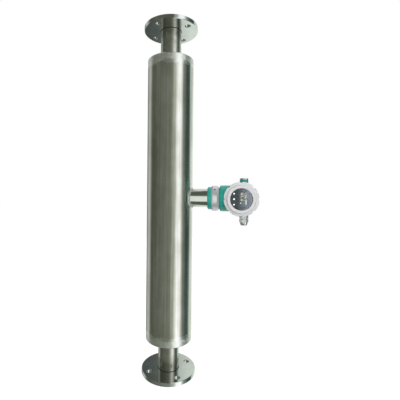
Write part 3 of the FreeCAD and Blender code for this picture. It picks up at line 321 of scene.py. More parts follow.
def polished_stainless():
    """Stainless pipe, belt polished along its length: a mirror drawn into long soft streaks.

    It has a handled film in clouds. Near the welds of its ends and of the stub it is ground instead, with a
    ragged edge. The belt's own scratches are too fine to show, so its streaks are drawn 6 mm wide.
    """
    material = worn(
        "#9f9e96", "#e2e1da", metallic=1.0,
        patch={"size": 6 * MM, "stretch": (1, 1, 40), "detail": 4.0}, roughness=(0.15, 0.21),
        relief={"size": 7 * MM, "stretch": (1, 1, 24), "detail": 4.0}, depth=0.05 * MM,
        shader={"Anisotropic": 1.0, "Anisotropic Rotation": 0.25})
    ground_roughness = 0.42
    film_low = 0.35
    film_high = 0.65
    tree = material.node_tree
    body = tree.nodes["Principled BSDF"]
    keys = ("Base Color", "Roughness", "Normal")
    colour, rough, normal = (body.inputs[key].links[0].from_socket for key in keys)
    film = grain(tree, 45 * MM, stretch=(1, 1, 1.6), detail=5.0)
    cloud = add(tree, "ShaderNodeMapRange", {"Value": film, "From Min": film_low, "From Max": film_high})
    stained = add(tree, "ShaderNodeMix", {0: cloud.outputs["Result"], 6: colour, 7: linear("#eaeae4")},
                  data_type="RGBA", blend_type="MULTIPLY")
    ground = near_welds(tree)
    tone = add(tree, "ShaderNodeMix", {0: ground, 6: stained.outputs[2], 7: linear("#e6e6e0")},
               data_type="RGBA")
    rough = add(tree, "ShaderNodeMix", {0: ground, 2: rough, 3: ground_roughness})
    bump = add(tree, "ShaderNodeBump", {"Height": grain(tree, **SCALLOP), "Distance": SCALLOP_DEPTH,
                                        "Strength": ground, "Normal": normal})
    around = add(tree, "ShaderNodeTangent", direction_type="RADIAL", axis="Z")
    tree.links.new(tone.outputs[2], body.inputs["Base Color"])
    tree.links.new(rough.outputs[0], body.inputs["Roughness"])
    tree.links.new(bump.outputs["Normal"], body.inputs["Normal"])
    tree.links.new(around.outputs["Tangent"], body.inputs["Tangent"])
    return material


def ground_stainless():
    """Weld shoulders ground with a flap disc: overlapping patches that scatter the mirror image."""
    return worn(
        "#c8c8c1", "#f8f8f2", metallic=1.0,
        patch={"size": 8 * MM, "detail": 4.0}, roughness=(0.34, 0.48),
        relief=SCALLOP, depth=SCALLOP_DEPTH)


def turned_stainless():
    """Flanges turned on the lathe: an even soft mirror with faint stains."""
    return worn(
        "#b1b4ae", "#c9ccc7", metallic=1.0,
        patch={"size": 25 * MM}, roughness=(0.08, 0.14),
        relief={"size": 9 * MM}, depth=0.03 * MM)


def buffed_stainless():
    """Stub pipe, buffed to a bright mirror."""
    return worn(
        "#bdc0ba", "#cfd2cd", metallic=1.0,
        patch={"size": 25 * MM}, roughness=(0.05, 0.1),
        relief={"size": 12 * MM}, depth=0.02 * MM)


def satin_stainless():
    """Neck pipe with a handled satin skin: a soft mirror with darker smudges."""
    return worn(
        "#8a897f", "#cac9bf", metallic=1.0,
        patch={"size": 30 * MM, "detail": 2.0}, roughness=(0.32, 0.22),
        relief={"size": 5 * MM, "stretch": (1, 1, 12)}, depth=0.03 * MM)


def weld_stainless():
    """Weld metal left as laid: a dull grey with a faint warm heat tint."""
    return worn(
        "#adaca6", "#dcdad4", metallic=1.0,
        patch={"size": 3 * MM, "detail": 5.0}, roughness=(0.3, 0.5),
        relief={"size": 0.7 * MM}, depth=0.05 * MM)


def teal_powder_coat():
    """Powder coat on cast aluminium, teal unless set otherwise: a satin gloss with an orange-peel skin."""
    settings = bpy.context.scene.meter_finish
    return worn(
        settings.housing_shade, settings.housing_paint,
        patch={"size": 18 * MM}, roughness=(0.32, 0.42),
        relief={"size": 1.4 * MM}, depth=0.03 * MM, shader={"Coat Weight": 0.15})


def grey_powder_coat():
    """Powder coat on cast aluminium, light grey unless set otherwise: a pale satin, orange-peeled."""
    settings = bpy.context.scene.meter_finish
    return worn(
        settings.cover_shade, settings.cover_paint,
        patch={"size": 16 * MM}, roughness=(0.34, 0.46),
        relief={"size": 1.4 * MM}, depth=0.03 * MM, shader={"Coat Weight": 0.1})


def tumbled_aluminium():
    """Bare cast aluminium, tumbled: a soft silver sheen with a fine pebbled skin."""
    return worn(
        "#c2c4c6", "#dcdddf", metallic=0.7,
        patch={"size": 7 * MM, "detail": 4.0}, roughness=(0.3, 0.44),
        relief={"size": 1.2 * MM}, depth=0.03 * MM)


def black_oxide_steel():
    """Hardened set screws, blacked in oil: a dark, slightly oily metal."""
    return worn(
        "#1f1f21", "#37373a", metallic=0.8,
        patch={"size": 1.5 * MM}, roughness=(0.35, 0.5),
        relief={"size": 0.4 * MM}, depth=0.01 * MM)


def cold_headed_stainless():
    """Cold-headed stainless screws and washers: bright, with fine tool marks."""
    return worn(
        "#b3b2ac", "#cdccc7", metallic=1.0,
        patch={"size": 2 * MM}, roughness=(0.2, 0.32),
        relief={"size": 0.5 * MM}, depth=0.01 * MM)


def nickel_plated_brass():
    """Nickel plate over turned brass: a clear mirror, duller where it was handled."""
    return worn(
        "#a8aaac", "#d0d2d4", metallic=1.0,
        patch={"size": 5 * MM}, roughness=(0.12, 0.24),
        relief={"size": 1.5 * MM}, depth=0.01 * MM)


def moulded_rubber():
    """Moulded EPDM rubber: matt black with a bloom of grey."""
    return worn(
        "#161617", "#262627",
        patch={"size": 3 * MM}, roughness=(0.6, 0.8),
        relief={"size": 0.5 * MM}, depth=0.02 * MM)


def toughened_glass():
    """Toughened window glass, polished: clear, with a faint grey-green body, and open to the lamps."""
    material = worn(
        "#e9efed", "#f1f5f3",
        patch={"size": 30 * MM}, roughness=(0.0, 0.01),
        relief={"size": 40 * MM}, depth=0.002 * MM, shader={"Transmission Weight": 1.0, "IOR": 1.5})
    tree = material.node_tree
    path = add(tree, "ShaderNodeLightPath")
    clear = add(tree, "ShaderNodeBsdfTransparent")
    body = tree.nodes["Principled BSDF"]
    both = add(tree, "ShaderNodeMixShader",
               {0: path.outputs["Is Shadow Ray"], 1: body.outputs["BSDF"], 2: clear.outputs["BSDF"]})
    tree.links.new(both.outputs["Shader"], tree.nodes["Material Output"].inputs["Surface"])
    return material


def graphite_polycarbonate():
    """Moulded graphite polycarbonate: a dark blue-grey with a fine spark-eroded grain."""
    return worn(
        "#1f242d", "#2c323d",
        patch={"size": 14 * MM}, roughness=(0.38, 0.48),
        relief={"size": 0.5 * MM}, depth=0.01 * MM, shader={"Specular IOR Level": 0.15})


def display_panel():
    """Display panel under its own thin glass: near black and glossy."""
    return worn(
        "#0f1219", "#171b24",
        patch={"size": 10 * MM}, roughness=(0.12, 0.2),
        relief={"size": 0.4 * MM}, depth=0.002 * MM)


def lit_dots():
    """Lit dots of the display: warm yellow-white light."""
    return worn(
        "#d6cb98", "#ece3bc",
        patch={"size": 2 * MM}, roughness=(0.4, 0.5),
        relief={"size": 0.4 * MM}, depth=0.002 * MM,
        shader={"Emission Color": linear("#eddfa6"), "Emission Strength": 0.75})


def lit_marks():
    """Small lit marks beside the digits: plain white light."""
    return worn(
        "#e9eaec", "#f7f7f8",
        patch={"size": 2 * MM}, roughness=(0.4, 0.5),
        relief={"size": 0.4 * MM}, depth=0.002 * MM,
        shader={"Emission Color": linear("#f2f3f5"), "Emission Strength": 0.9})


def frosted_lens():
    """Frosted lenses over the optical keys: milky white, with a painted glow that keeps them bright white
    behind the glass.
    """
    # The emission is painted light: the lenses glow white though they are not lamps
    return worn(
        "#ebecee", "#f8f8f9",
        patch={"size": 3 * MM}, roughness=(0.5, 0.6),
        relief={"size": 0.3 * MM}, depth=0.01 * MM,
        shader={"Emission Color": linear("#f4f5f6"), "Emission Strength": 0.9})


def machined_aluminium():
    """Bare machined aluminium under the covers: a bright satin with cutter lines."""
    return worn(
        "#b2b3b5", "#cccdce", metallic=1.0,
        patch={"size": 5 * MM}, roughness=(0.3, 0.42),
        relief={"size": 0.4 * MM, "stretch": (12, 1, 12)}, depth=0.01 * MM)


def drawn_tube_steel():
    """Drawn measuring tubes, pickled: an even pale grey with draw lines, shown 2 mm wide to be seen."""
    return worn(
        "#a6a6a1", "#bdbdb8", metallic=1.0,
        patch={"size": 2 * MM, "stretch": (1, 1, 40)}, roughness=(0.26, 0.36),
        relief={"size": 0.5 * MM, "stretch": (1, 1, 40)}, depth=0.008 * MM)


def wound_copper():
    """Enamelled copper wire, wound: turns across the bobbin, shown 0.6 mm wide to be seen."""
    return worn(
        "#8a4424", "#c06f3e", metallic=0.9,
        patch={"size": 0.6 * MM, "stretch": (1, 14, 14)}, roughness=(0.24, 0.36),
        relief={"size": 0.5 * MM, "stretch": (1, 20, 20)}, depth=0.1 * MM)


def extruded_ptfe():
    """Extruded PTFE insulation of the wires: smooth off-white."""
    return worn(
        "#d8d2c2", "#e8e3d6",
        patch={"size": 4 * MM}, roughness=(0.35, 0.45),
        relief={"size": 0.6 * MM}, depth=0.01 * MM)


def glass_epoxy_board():
    """Glass-epoxy board under solder mask: glossy green with a weave below."""
    return worn(
        "#0f4a2c", "#1c6a41",
        patch={"size": 1.2 * MM}, roughness=(0.22, 0.34),
        relief={"size": 0.6 * MM}, depth=0.01 * MM)


def moulded_plastic():
    """Glass-filled plastic of the electronics block: matt charcoal with a moulded grain."""
    return worn(
        "#2c2e31", "#3b3d41",
        patch={"size": 6 * MM}, roughness=(0.5, 0.62),
        relief={"size": 0.6 * MM}, depth=0.02 * MM)


def moulded_polyamide():
    """Polyamide of the terminal block: matt green with a moulded grain."""
    return worn(
        "#2a7a44", "#3a9157",
        patch={"size": 5 * MM}, roughness=(0.42, 0.54),
        relief={"size": 0.6 * MM}, depth=0.015 * MM)


def turned_brass():
    """Turned brass terminal screws: yellow metal with lathe lines."""
    return worn(
        "#a88342", "#cda75f", metallic=1.0,
        patch={"size": 1.5 * MM}, roughness=(0.24, 0.36),
        relief={"size": 0.3 * MM, "stretch": (1, 10, 1)}, depth=0.01 * MM)


# Mesh helpers

SHARP_ANGLE = math.radians(35)


def as_mesh(bm, name):
    """A mesh from a bmesh, which is freed."""
    mesh = bpy.data.meshes.new(name)
    bm.to_mesh(mesh)
    bm.free()
    return mesh


def add_object(name, data):
    """A new object in the scene, at the origin."""
    thing = bpy.data.objects.new(name, data)
    bpy.context.scene.collection.objects.link(thing)
    return thing


def new_piece(name, mesh, body, slot, *replaced):
    """A piece with its place in its mesh, riding on a body; the slot is not used."""
    piece = add_object(name, mesh)
    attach(piece, body)
    if replaced:
        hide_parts(*replaced)
    return piece


def circle(radius, height, turns):
    """Points round Z at those turns."""
    return [(radius * math.cos(turn), radius * math.sin(turn), height) for turn in turns]


def hexagon_radius(flats, angle):
    """Distance from the centre to the rim of a hexagon of that width across flats."""
    sixth = FULL_TURN / 6
    return flats / 2 / math.cos(angle % sixth - sixth / 2)


def join_rings(bm, rings):
    """Faces from each ring of corners to the next."""
    for low, high in zip(rings, rings[1:]):
        for k, corner in enumerate(low):
            after = (k + 1) % len(low)
            bm.faces.new((corner, low[after], high[after], high[k]))


def turned_mesh(name, sections):
    """A closed solid along Z from (width, height, six-sided) sections, each a ring joined to the next."""
    segments = 48
    bm = bmesh.new()
    rings = []
    for width, height, six_sided in sections:
        ring = []
        for k in range(segments):
            angle = FULL_TURN * k / segments
            radius = hexagon_radius(width, angle) if six_sided else width / 2
            ring.append(bm.verts.new((radius * math.cos(angle), radius * math.sin(angle), height)))
        rings.append(ring)
    join_rings(bm, rings)
    for ring, height in ((rings[0], sections[0][1]), (rings[-1], sections[-1][1])):
        hub = bm.verts.new((0, 0, height))
        for k in range(segments):
            bm.faces.new((ring[k], ring[(k + 1) % segments], hub))
    bmesh.ops.recalc_face_normals(bm, faces=bm.faces)
    return as_mesh(bm, name)


def round_off(mesh):
    """Shade a mesh smooth, with its sharper edges kept."""
    mesh.polygons.foreach_set("use_smooth", [True] * len(mesh.polygons))
    mesh.set_sharp_from_angle(angle=SHARP_ANGLE)
    return mesh


# Geometry Nodes helpers

def new_tree(name, sizes):
    """A geometry tree with inputs for a Geometry, the named sizes and a Material, and those inputs."""
    tree = bpy.data.node_groups.new(name, "GeometryNodeTree")
    tree.interface.new_socket("Geometry", in_out="INPUT", socket_type="NodeSocketGeometry")
    for label, kind in sizes.items():
        tree.interface.new_socket(label, in_out="INPUT", socket_type=kind)
    tree.interface.new_socket("Material", in_out="INPUT", socket_type="NodeSocketMaterial")
    tree.interface.new_socket("Geometry", in_out="OUTPUT", socket_type="NodeSocketGeometry")
    return tree, tree.nodes.new("NodeGroupInput").outputs


def close_tree(tree, given, geometry):
    """End a tree in Realize Instances and Set Material."""
    real = add(tree, "GeometryNodeRealizeInstances", {"Geometry": geometry})
    painted = add(tree, "GeometryNodeSetMaterial",
                  {"Geometry": real.outputs["Geometry"], "Material": given["Material"]})
    add(tree, "NodeGroupOutput", {"Geometry": painted.outputs["Geometry"]})
    return tree


def grown_mesh(tree, base, values, material):
    """The plain mesh that a geometry tree grows on a base mesh with those input values."""
    carrier = add_object(f"{tree.name}_carrier", base)
    modifier = carrier.modifiers.new(tree.name, "NODES")
    modifier.node_group = tree
    values = dict(values, Material=material)
    for item in tree.interface.items_tree:
        if item.in_out == "INPUT" and item.name in values:
            modifier[item.identifier] = values[item.name]
    shaped = carrier.evaluated_get(bpy.context.evaluated_depsgraph_get())
    mesh = bpy.data.meshes.new_from_object(shaped)
    # The tree leaves an empty material slot before the one that it sets
    mesh.materials.clear()
    mesh.materials.append(material)
    carrier.modifiers.remove(modifier)
    bpy.data.objects.remove(carrier)
    return mesh


def tree_named(name, build):
    """The geometry tree of that name, built on the first call and shared after it."""
    return bpy.data.node_groups.get(name) or build(name)


def weld_tree(name):
    """A weld bead along each edge path: a round core with a flattened ripple at every step."""
    sides = 10
    ripple_rings = 6
    core_share = 0.86
    flattening = 0.6
    tree, given = new_tree(name, {"Bead Radius": "NodeSocketFloat", "Ripple": "NodeSocketFloat"})
    path = add(tree, "GeometryNodeMeshToCurve", {"Mesh": given["Geometry"]})
    steps = add(tree, "GeometryNodeResampleCurve",
                {"Curve": path.outputs["Curve"], "Length": given["Ripple"]}, mode="LENGTH")
    ring = add(tree, "GeometryNodeCurvePrimitiveCircle",
               {"Resolution": sides, "Radius": given["Bead Radius"]})
    core = add(tree, "GeometryNodeCurveToMesh",
               {"Curve": steps.outputs["Curve"], "Profile Curve": ring.outputs["Curve"],
                "Scale": core_share})
    ripple = add(tree, "GeometryNodeMeshUVSphere",
                 {"Segments": sides, "Rings": ripple_rings, "Radius": given["Bead Radius"]})
    along = add(tree, "GeometryNodeInputTangent")
    turn = add(tree, "FunctionNodeAlignRotationToVector", {"Vector": along.outputs["Tangent"]}, axis="Z")
    ripples = add(tree, "GeometryNodeInstanceOnPoints",
                  {"Points": steps.outputs["Curve"], "Instance": ripple.outputs["Mesh"],
                   "Rotation": turn.outputs["Rotation"], "Scale": (1.0, 1.0, flattening)})
    bead = add(tree, "GeometryNodeJoinGeometry", {"Geometry": core.outputs["Mesh"]})
    tree.links.new(ripples.outputs["Instances"], bead.inputs["Geometry"])
    smooth = add(tree, "GeometryNodeSetShadeSmooth", {"Geometry": bead.outputs["Geometry"]})
    return close_tree(tree, given, smooth.outputs["Geometry"])


def thread_tree(name):
    """A right-hand screw thread up Z: one ridge of diamond section wound on a thin turned sleeve."""
    steps = 72
    ridge_sides = 4
    sleeve_share = 0.15
    labels = ("Radius", "Length", "Pitch", "Depth")
    tree, given = new_tree(name, dict.fromkeys(labels, "NodeSocketFloat"))
    turns = add(tree, "ShaderNodeMath", {0: given["Length"], 1: given["Pitch"]}, operation="DIVIDE")
    helix = add(tree, "GeometryNodeCurveSpiral",
                {"Resolution": steps, "Rotations": turns.outputs[0], "Start Radius": given["Radius"],
                 "End Radius": given["Radius"], "Height": given["Length"], "Reverse": True})
    level = add(tree, "GeometryNodeSetCurveNormal", {"Curve": helix.outputs["Curve"]}, mode="Z_UP")
    ridge = add(tree, "GeometryNodeCurvePrimitiveCircle",
                {"Resolution": ridge_sides, "Radius": given["Depth"]})
    wound = add(tree, "GeometryNodeCurveToMesh",
                {"Curve": level.outputs["Curve"], "Profile Curve": ridge.outputs["Curve"],
                 "Fill Caps": True})
    skin = add(tree, "ShaderNodeMath", {0: given["Depth"], 1: sleeve_share, 2: given["Radius"]},
               operation="MULTIPLY_ADD")
    sleeve = add(tree, "GeometryNodeMeshCylinder",
                 {"Vertices": steps, "Radius": skin.outputs[0], "Depth": given["Length"]}, fill_type="NONE")
    half = add(tree, "ShaderNodeMath", {0: given["Length"], 1: 0.5}, operation="MULTIPLY")
    rise = add(tree, "ShaderNodeCombineXYZ", {"Z": half.outputs[0]})
    raised = add(tree, "GeometryNodeTransform",
                 {"Geometry": sleeve.outputs["Mesh"], "Translation": rise.outputs["Vector"]})
    smooth = add(tree, "GeometryNodeSetShadeSmooth", {"Geometry": raised.outputs["Geometry"]})
    both = add(tree, "GeometryNodeJoinGeometry", {"Geometry": wound.outputs["Mesh"]})
    tree.links.new(smooth.outputs["Geometry"], both.inputs["Geometry"])
    return close_tree(tree, given, both.outputs["Geometry"])


def ring_tree(name):
    """Copies of the given piece round Z, each with its own Z axis pointing outwards."""
    tree, given = new_tree(name, {"Count": "NodeSocketInt", "Reach": "NodeSocketFloat"})
    ring = add(tree, "GeometryNodeCurvePrimitiveCircle",
               {"Resolution": given["Count"], "Radius": given["Reach"]})
    outward = add(tree, "GeometryNodeInputPosition")
    turn = add(tree, "FunctionNodeAlignRotationToVector", {"Vector": outward.outputs["Position"]}, axis="Z")
    copies = add(tree, "GeometryNodeInstanceOnPoints",
                 {"Points": ring.outputs["Curve"], "Instance": given["Geometry"],
                  "Rotation": turn.outputs["Rotation"]})
    return close_tree(tree, given, copies.outputs["Instances"])


def dot_tree(name):
    """A small flat block on every given point, as wide as the point's dot_width: a display's lit dots."""
    tree, given = new_tree(name, {"Dot Height": "NodeSocketFloat"})
    points = add(tree, "GeometryNodeMeshToPoints", {"Mesh": given["Geometry"]})
    dot = add(tree, "GeometryNodeMeshCube", {"Size": (1.0, 1.0, 1.0)})
    width = add(tree, "GeometryNodeInputNamedAttribute", {"Name": "dot_width"}).outputs["Attribute"]
    size = add(tree, "ShaderNodeCombineXYZ", {"X": width, "Y": given["Dot Height"], "Z": width})
    dots = add(tree, "GeometryNodeInstanceOnPoints",
               {"Points": points.outputs["Points"], "Instance": dot.outputs["Mesh"],
                "Scale": size.outputs["Vector"]})
    return close_tree(tree, given, dots.outputs["Instances"])


# Digits of the display, five dots wide and seven high
DIGITS = {
    "0": (" ### ", "#   #", "#   #", "#   #", "#   #", "#   #", " ### "),
    "1": ("  #  ", " ##  ", "  #  ", "  #  ", "  #  ", "  #  ", " ### "),
    "2": (" ### ", "#   #", "    #", "   # ", "  #  ", " #   ", "#####"),
    "3": (" ### ", "#   #", "    #", "  ## ", "    #", "#   #", " ### "),
    "4": ("   # ", "  ## ", " # # ", "#  # ", "#####", "   # ", "   # "),
    "5": ("#####", "#    ", "#### ", "    #", "    #", "#   #", " ### "),
    "6": (" ### ", "#    ", "#    ", "#### ", "#   #", "#   #", " ### "),
    "7": ("#####", "    #", "   # ", "  #  ", "  #  ", "  #  ", "  #  "),
    "8": (" ### ", "#   #", "#   #", " ### ", "#   #", "#   #", " ### "),
    "9": (" ### ", "#   #", "#   #", " ####", "    #", "    #", " ### "),
    ".": ("     ", "     ", "     ", "     ", "     ", " ##  ", " ##  "),
}
# A short scale bar that stands beside a value, and a lit spot
SCALE_BAR = ("############", "############", "# # # # # # ")
SPOT = ("###", "###", "###")
# Where they start on the display, right of the centre of its face plate and above it
UPPER_START = (14.6 * MM, 17.5 * MM)
LOWER_START = (4.6 * MM, 17.5 * MM)
SCALE_BAR_START = (13.8 * MM, -5.8 * MM)
SPOT_START = (-0.8 * MM, -10.5 * MM)
# Width of a lit dot as a share of its pixel, and its thickness
DOT_SHARE = 0.8
DOT_HEIGHT = 0.1 * MM


# Operators, one for each group of pieces

class METER_OT_pipework(bpy.types.Operator):
    """Polish the case, grind its shoulders and turn the flanges"""
    bl_idname = "meter.pipework"
    bl_label = "Finish Pipework"

    def execute(self, context):
        dress(["case_tube"], polished_stainless)
        dress(["lower_end_cap", "upper_end_cap"], ground_stainless)
        dress(["lower_flange", "upper_flange"], turned_stainless)
        dress(["stub_tube"], buffed_stainless)
        dress(["lower_neck", "upper_neck"], satin_stainless)
        return {"FINISHED"}


class METER_OT_welds(bpy.types.Operator):
    """Lay the weld beads round the stub and the two necks"""
    bl_idname = "meter.welds"
    bl_label = "Lay Weld Beads"

    def execute(self, context):
        settings = context.scene.meter_finish
        steps = 160
        turns = [FULL_TURN * k / steps for k in range(steps)]
        paths = bmesh.new()
        for loop in [self.saddle(turns)] + [circle(NECK_RADIUS, height, turns) for height in NECK_ROOTS]:
            corners = [paths.verts.new(point) for point in loop]
            for k in range(steps):
                paths.edges.new((corners[k], corners[(k + 1) % steps]))
        base = as_mesh(paths, "weld_paths")
        values = {"Bead Radius": settings.bead_radius, "Ripple": settings.bead_ripple}
        mesh = grown_mesh(tree_named("weld_bead", weld_tree), base, values, finished(weld_stainless))
        new_piece("weld_beads", mesh, "sensor", "machined_steel")
        return {"FINISHED"}

    def saddle(self, turns):
        """Points of the curve in which the stub's skin meets the case's."""
        points = []
        for turn in turns:
            side = STUB_RADIUS * math.cos(turn)
            out = math.sqrt(CASE_RADIUS ** 2 - side ** 2)
            points.append((out, side, STUB_HEIGHT + STUB_RADIUS * math.sin(turn)))
        return points


class METER_OT_joint_seals(bpy.types.Operator):
    """Lay a thin black rubber ring round each neck where it enters its flange, as painted shade for the
    shadow in the joint's gap
    """
    bl_idname = "meter.joint_seals"
    bl_label = "Lay Joint Seals"

    def execute(self, context):
        settings = context.scene.meter_finish
        sides = 10
        steps = 96
        turns = [FULL_TURN * k / steps for k in range(steps)]
        seals = bmesh.new()
        for height in NECK_ENDS:
            rings = []
            for k in range(sides):
                lean = FULL_TURN * k / sides
                reach = NECK_RADIUS - settings.seal_radius * math.sin(lean)
                level = height + settings.seal_radius * math.cos(lean)
                rings.append([seals.verts.new(point) for point in circle(reach, level, turns)])
            join_rings(seals, rings + rings[:1])
        mesh = round_off(as_mesh(seals, "flange_joint_seals"))
        # Black rubber in the gap at each flange: painted shade that stands in for the joint's shadow
        mesh.materials.append(finished(moulded_rubber))
        new_piece("flange_joint_seals", mesh, "sensor", "rubber")
        return {"FINISHED"}


class METER_OT_swivel(bpy.types.Operator):
    """Finish the adapter and clamp ring, and set the socket screws in the ring"""
    bl_idname = "meter.swivel"
    bl_label = "Finish Swivel Joint"

    def execute(self, context):
        settings = context.scene.meter_finish
        dress(["neck_adapter"], teal_powder_coat)
        dress(["clamp_ring"], tumbled_aluminium)
        low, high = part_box("clamp_grub_screws")
        width = high.x - low.x
        length = 8 * MM
        bevel = 0.4 * MM
        sections = [
            (width - 2 * bevel, -length, False), (width, bevel - length, False), (width, -bevel, False),
            (width - 2 * bevel, 0, False), (settings.socket_flats, 0, True),
            (settings.socket_flats, -settings.socket_flats, True),
        ]
        screw = round_off(turned_mesh("set_screw", sections))
        values = {"Count": SCREW_COUNT, "Reach": half_width("clamp_ring", 1) - settings.screw_recess}
        mesh = grown_mesh(tree_named("screw_ring", ring_tree), screw, values, finished(black_oxide_steel))
        along = Vector((1, 0, 0))
        first = Vector((0, -math.cos(SCREW_CLOCK), math.sin(SCREW_CLOCK)))
        turn = Matrix((first, along.cross(first), along)).transposed().to_4x4()
        mesh.transform(Matrix.Translation(((low.x + high.x) / 2, 0, STUB_HEIGHT)) @ turn)
        new_piece("clamp_set_screws", mesh, "sensor", "black_steel", "clamp_grub_screws")
        return {"FINISHED"}


class METER_OT_housing(bpy.types.Operator):
    """Paint the housing and its two covers, and fit the glass and the seals"""
    bl_idname = "meter.housing"
    bl_label = "Finish Housing"

    def execute(self, context):
        dress(["transmitter_housing"], teal_powder_coat)
        dress(["front_cover", "rear_cover"], grey_powder_coat)
        dress(["window_glass"], toughened_glass)
        dress(["window_retainer"], machined_aluminium)
        dress(["front_cover_seal", "rear_cover_seal", "window_gasket", "swivel_seal"], moulded_rubber)
        return {"FINISHED"}


class METER_OT_threads(bpy.types.Operator):
    """Wind the threads that the covers, the gland nut and the plug turn on"""
    bl_idname = "meter.threads"
    bl_label = "Wind Threads"

    def execute(self, context):
        settings = context.scene.meter_finish
        front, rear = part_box("transmitter_housing")
        for side, end, turn in (("front", front.y, -QUARTER_TURN), ("rear", rear.y, QUARTER_TURN)):
            mesh = self.wind(settings, settings.collar_radius, settings.collar_length,
                             settings.cover_pitch, machined_aluminium)
            mesh.transform(Matrix.Translation((BARREL.x, end, BARREL.z)) @ Matrix.Rotation(turn, 4, "X"))
            new_piece(f"{side}_collar_thread", mesh, "transmitter", "bare_aluminium")
        for node, radius, body in (("gland_body", settings.gland_radius, "transmitter"),
                                   ("blind_plug", settings.plug_radius, "plug")):
            mesh = self.wind(settings, radius, settings.entry_length, settings.entry_pitch,
                             nickel_plated_brass)
            foot = middle(node)
            foot.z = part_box(node)[0].z
            mesh.transform(Matrix.Translation(foot))
            new_piece(f"{node}_thread", mesh, body, "nickel_plate")
        return {"FINISHED"}

    def wind(self, settings, radius, length, pitch, make):
        """A thread that stands on the origin."""
        values = {"Radius": radius, "Length": length, "Pitch": pitch, "Depth": settings.thread_depth}
        carrier = bpy.data.meshes.new("thread_carrier")
        return grown_mesh(tree_named("screw_thread", thread_tree), carrier, values, finished(make))


class METER_OT_fittings(bpy.types.Operator):
    """Finish the cable gland, the blind plug and the earth terminal"""
    bl_idname = "meter.fittings"
    bl_label = "Finish Fittings"

    def execute(self, context):
        dress(["gland_body", "gland_nut", "blind_plug"], nickel_plated_brass)
        dress(["gland_washer", "gland_seal", "plug_seal"], moulded_rubber)
        dress(["earth_washer", "module_screws"], cold_headed_stainless)
        low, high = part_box("earth_screw")
        head = high.x - low.x
        shank = 5 * MM
        seat = -4 * MM
        bevel = 0.6 * MM
        socket = 4 * MM
        sections = [
            (shank, low.y - high.y, False), (shank, seat, False), (head, seat, False),
            (head, -bevel, False), (head - 2 * bevel, 0, False), (socket, 0, True),
            (socket, -socket / 2, True),
        ]
        mesh = round_off(turned_mesh("earth_socket_screw", sections))
        mesh.materials.append(finished(cold_headed_stainless))
        place = middle("earth_screw")
        place.y = high.y
        mesh.transform(Matrix.Translation(place) @ Matrix.Rotation(-QUARTER_TURN, 4, "X"))
        new_piece("earth_socket_screw", mesh, "transmitter", "stainless_fastener", "earth_screw")
        return {"FINISHED"}


class METER_OT_display(bpy.types.Operator):
    """Finish the display and light its digits and marks"""
    bl_idname = "meter.display"
    bl_label = "Light Display"

    def execute(self, context):
        dress(["display_face_plate", "display_carrier"], graphite_polycarbonate)
        dress(["display_screen"], display_panel)
        dress(["key_lenses"], frosted_lens)
        dress(["display_board"], glass_epoxy_board)
        settings = context.scene.meter_finish
        upper = self.value_rows(settings.upper_value)
        lower = self.value_rows(settings.lower_value)
        self.light_rows("display_digits", "screen", lit_dots, [
            (upper, UPPER_START, settings.upper_pixel), (lower, LOWER_START, settings.lower_pixel)])
        self.light_rows("display_marks", "key_lens", lit_marks, [
            (SCALE_BAR, SCALE_BAR_START, settings.upper_pixel), (SPOT, SPOT_START, settings.upper_pixel)])
        return {"FINISHED"}

    def value_rows(self, value):
        """Rows of dots that spell a value, with one empty column between its digits."""
        return [" ".join(rows) for rows in zip(*(DIGITS[sign] for sign in value))]

    def light_rows(self, name, slot, make, blocks):
        """Lit dots on the screen, which is turned so that its lines run down and their tops face right."""
        centre = middle("display_face_plate")
        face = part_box("display_screen")[0].y
        dots = bmesh.new()
        width = dots.verts.layers.float.new("dot_width")
        for rows, (right, top), pixel in blocks:
            for k, row in enumerate(rows):
                x = centre.x + right - k * pixel
                for step, sign in enumerate(row):
                    if sign == "#":
                        spot = dots.verts.new((x, face, centre.z + top - step * pixel))
                        spot[width] = DOT_SHARE * pixel
        base = as_mesh(dots, f"{name}_points")
        values = {"Dot Height": DOT_HEIGHT}
        mesh = grown_mesh(tree_named("lit_dot", dot_tree), base, values, finished(make))
        new_piece(name, mesh, "display", slot)


class METER_OT_inner_works(bpy.types.Operator):
    """Finish the measuring tubes, coils and electronics inside the meter"""
    bl_idname = "meter.inner_works"
    bl_label = "Finish Inner Works"

    def execute(self, context):
        tubes = ["front_measuring_tube", "rear_measuring_tube"]
        steels = ["drive_brackets", "drive_magnet", "temperature_sensor", "feedthrough"]
        coils = ["drive_coil"]
        for end in ("lower", "upper"):
            steels += [f"{end}_manifold", f"{end}_brace_plates", f"{end}_pickoff_brackets",
                       f"{end}_pickoff_magnet"]
            coils.append(f"{end}_pickoff_coil")
        dress(tubes + steels, drawn_tube_steel)
        dress(coils, wound_copper)
        dress(["signal_wires"], extruded_ptfe)
        dress(["electronics_module"], moulded_plastic)
        dress(["terminal_block"], moulded_polyamide)
        dress(["terminal_screws"], turned_brass)
        return {"FINISHED"}


# Panels of the studio round the meter, mirrored in its steel: where each starts and ends, in degrees right
# of straight behind the meter, and its tone at both ends. Between two panels the tone runs over.
PANELS = (
    (-180, -90, "#6c716a", "#4a4e46"),
    (-82, -76, "#4c5048", "#5a5e55"),
    (-61, -40, "#a6aaa6", "#939692"),
    (-22, -3, "#363b3a", "#434948"),
    (4, 62, "#c2c8c3", "#b4bcb6"),
    (72, 94, "#34484a", "#3a4745"),
    (101, 113, "#5b605a", "#787e77"),
    (129, 145, "#eff2f7", "#eff2f7"),
    (157, 166, "#a0a59c", "#8e948a"),
    (176, 180, "#70756e", "#6c716a"),
)
PANEL_LEVEL = 2.0
# Clouds on the panels: their width in metres, and the share by which they change the level
CLOUD_WIDTH = 0.8
CLOUD_SHARE = 0.15
# Heights in metres between which the panels' level falls, and its share at both
FALL_LOW = -1.2
FALL_HIGH = 1.9
LOW_SHARE = 1.05
HIGH_SHARE = 0.97
SURROUND_RADIUS = 3.0
SURROUND_LOW = -5.0
SURROUND_HIGH = 3.5
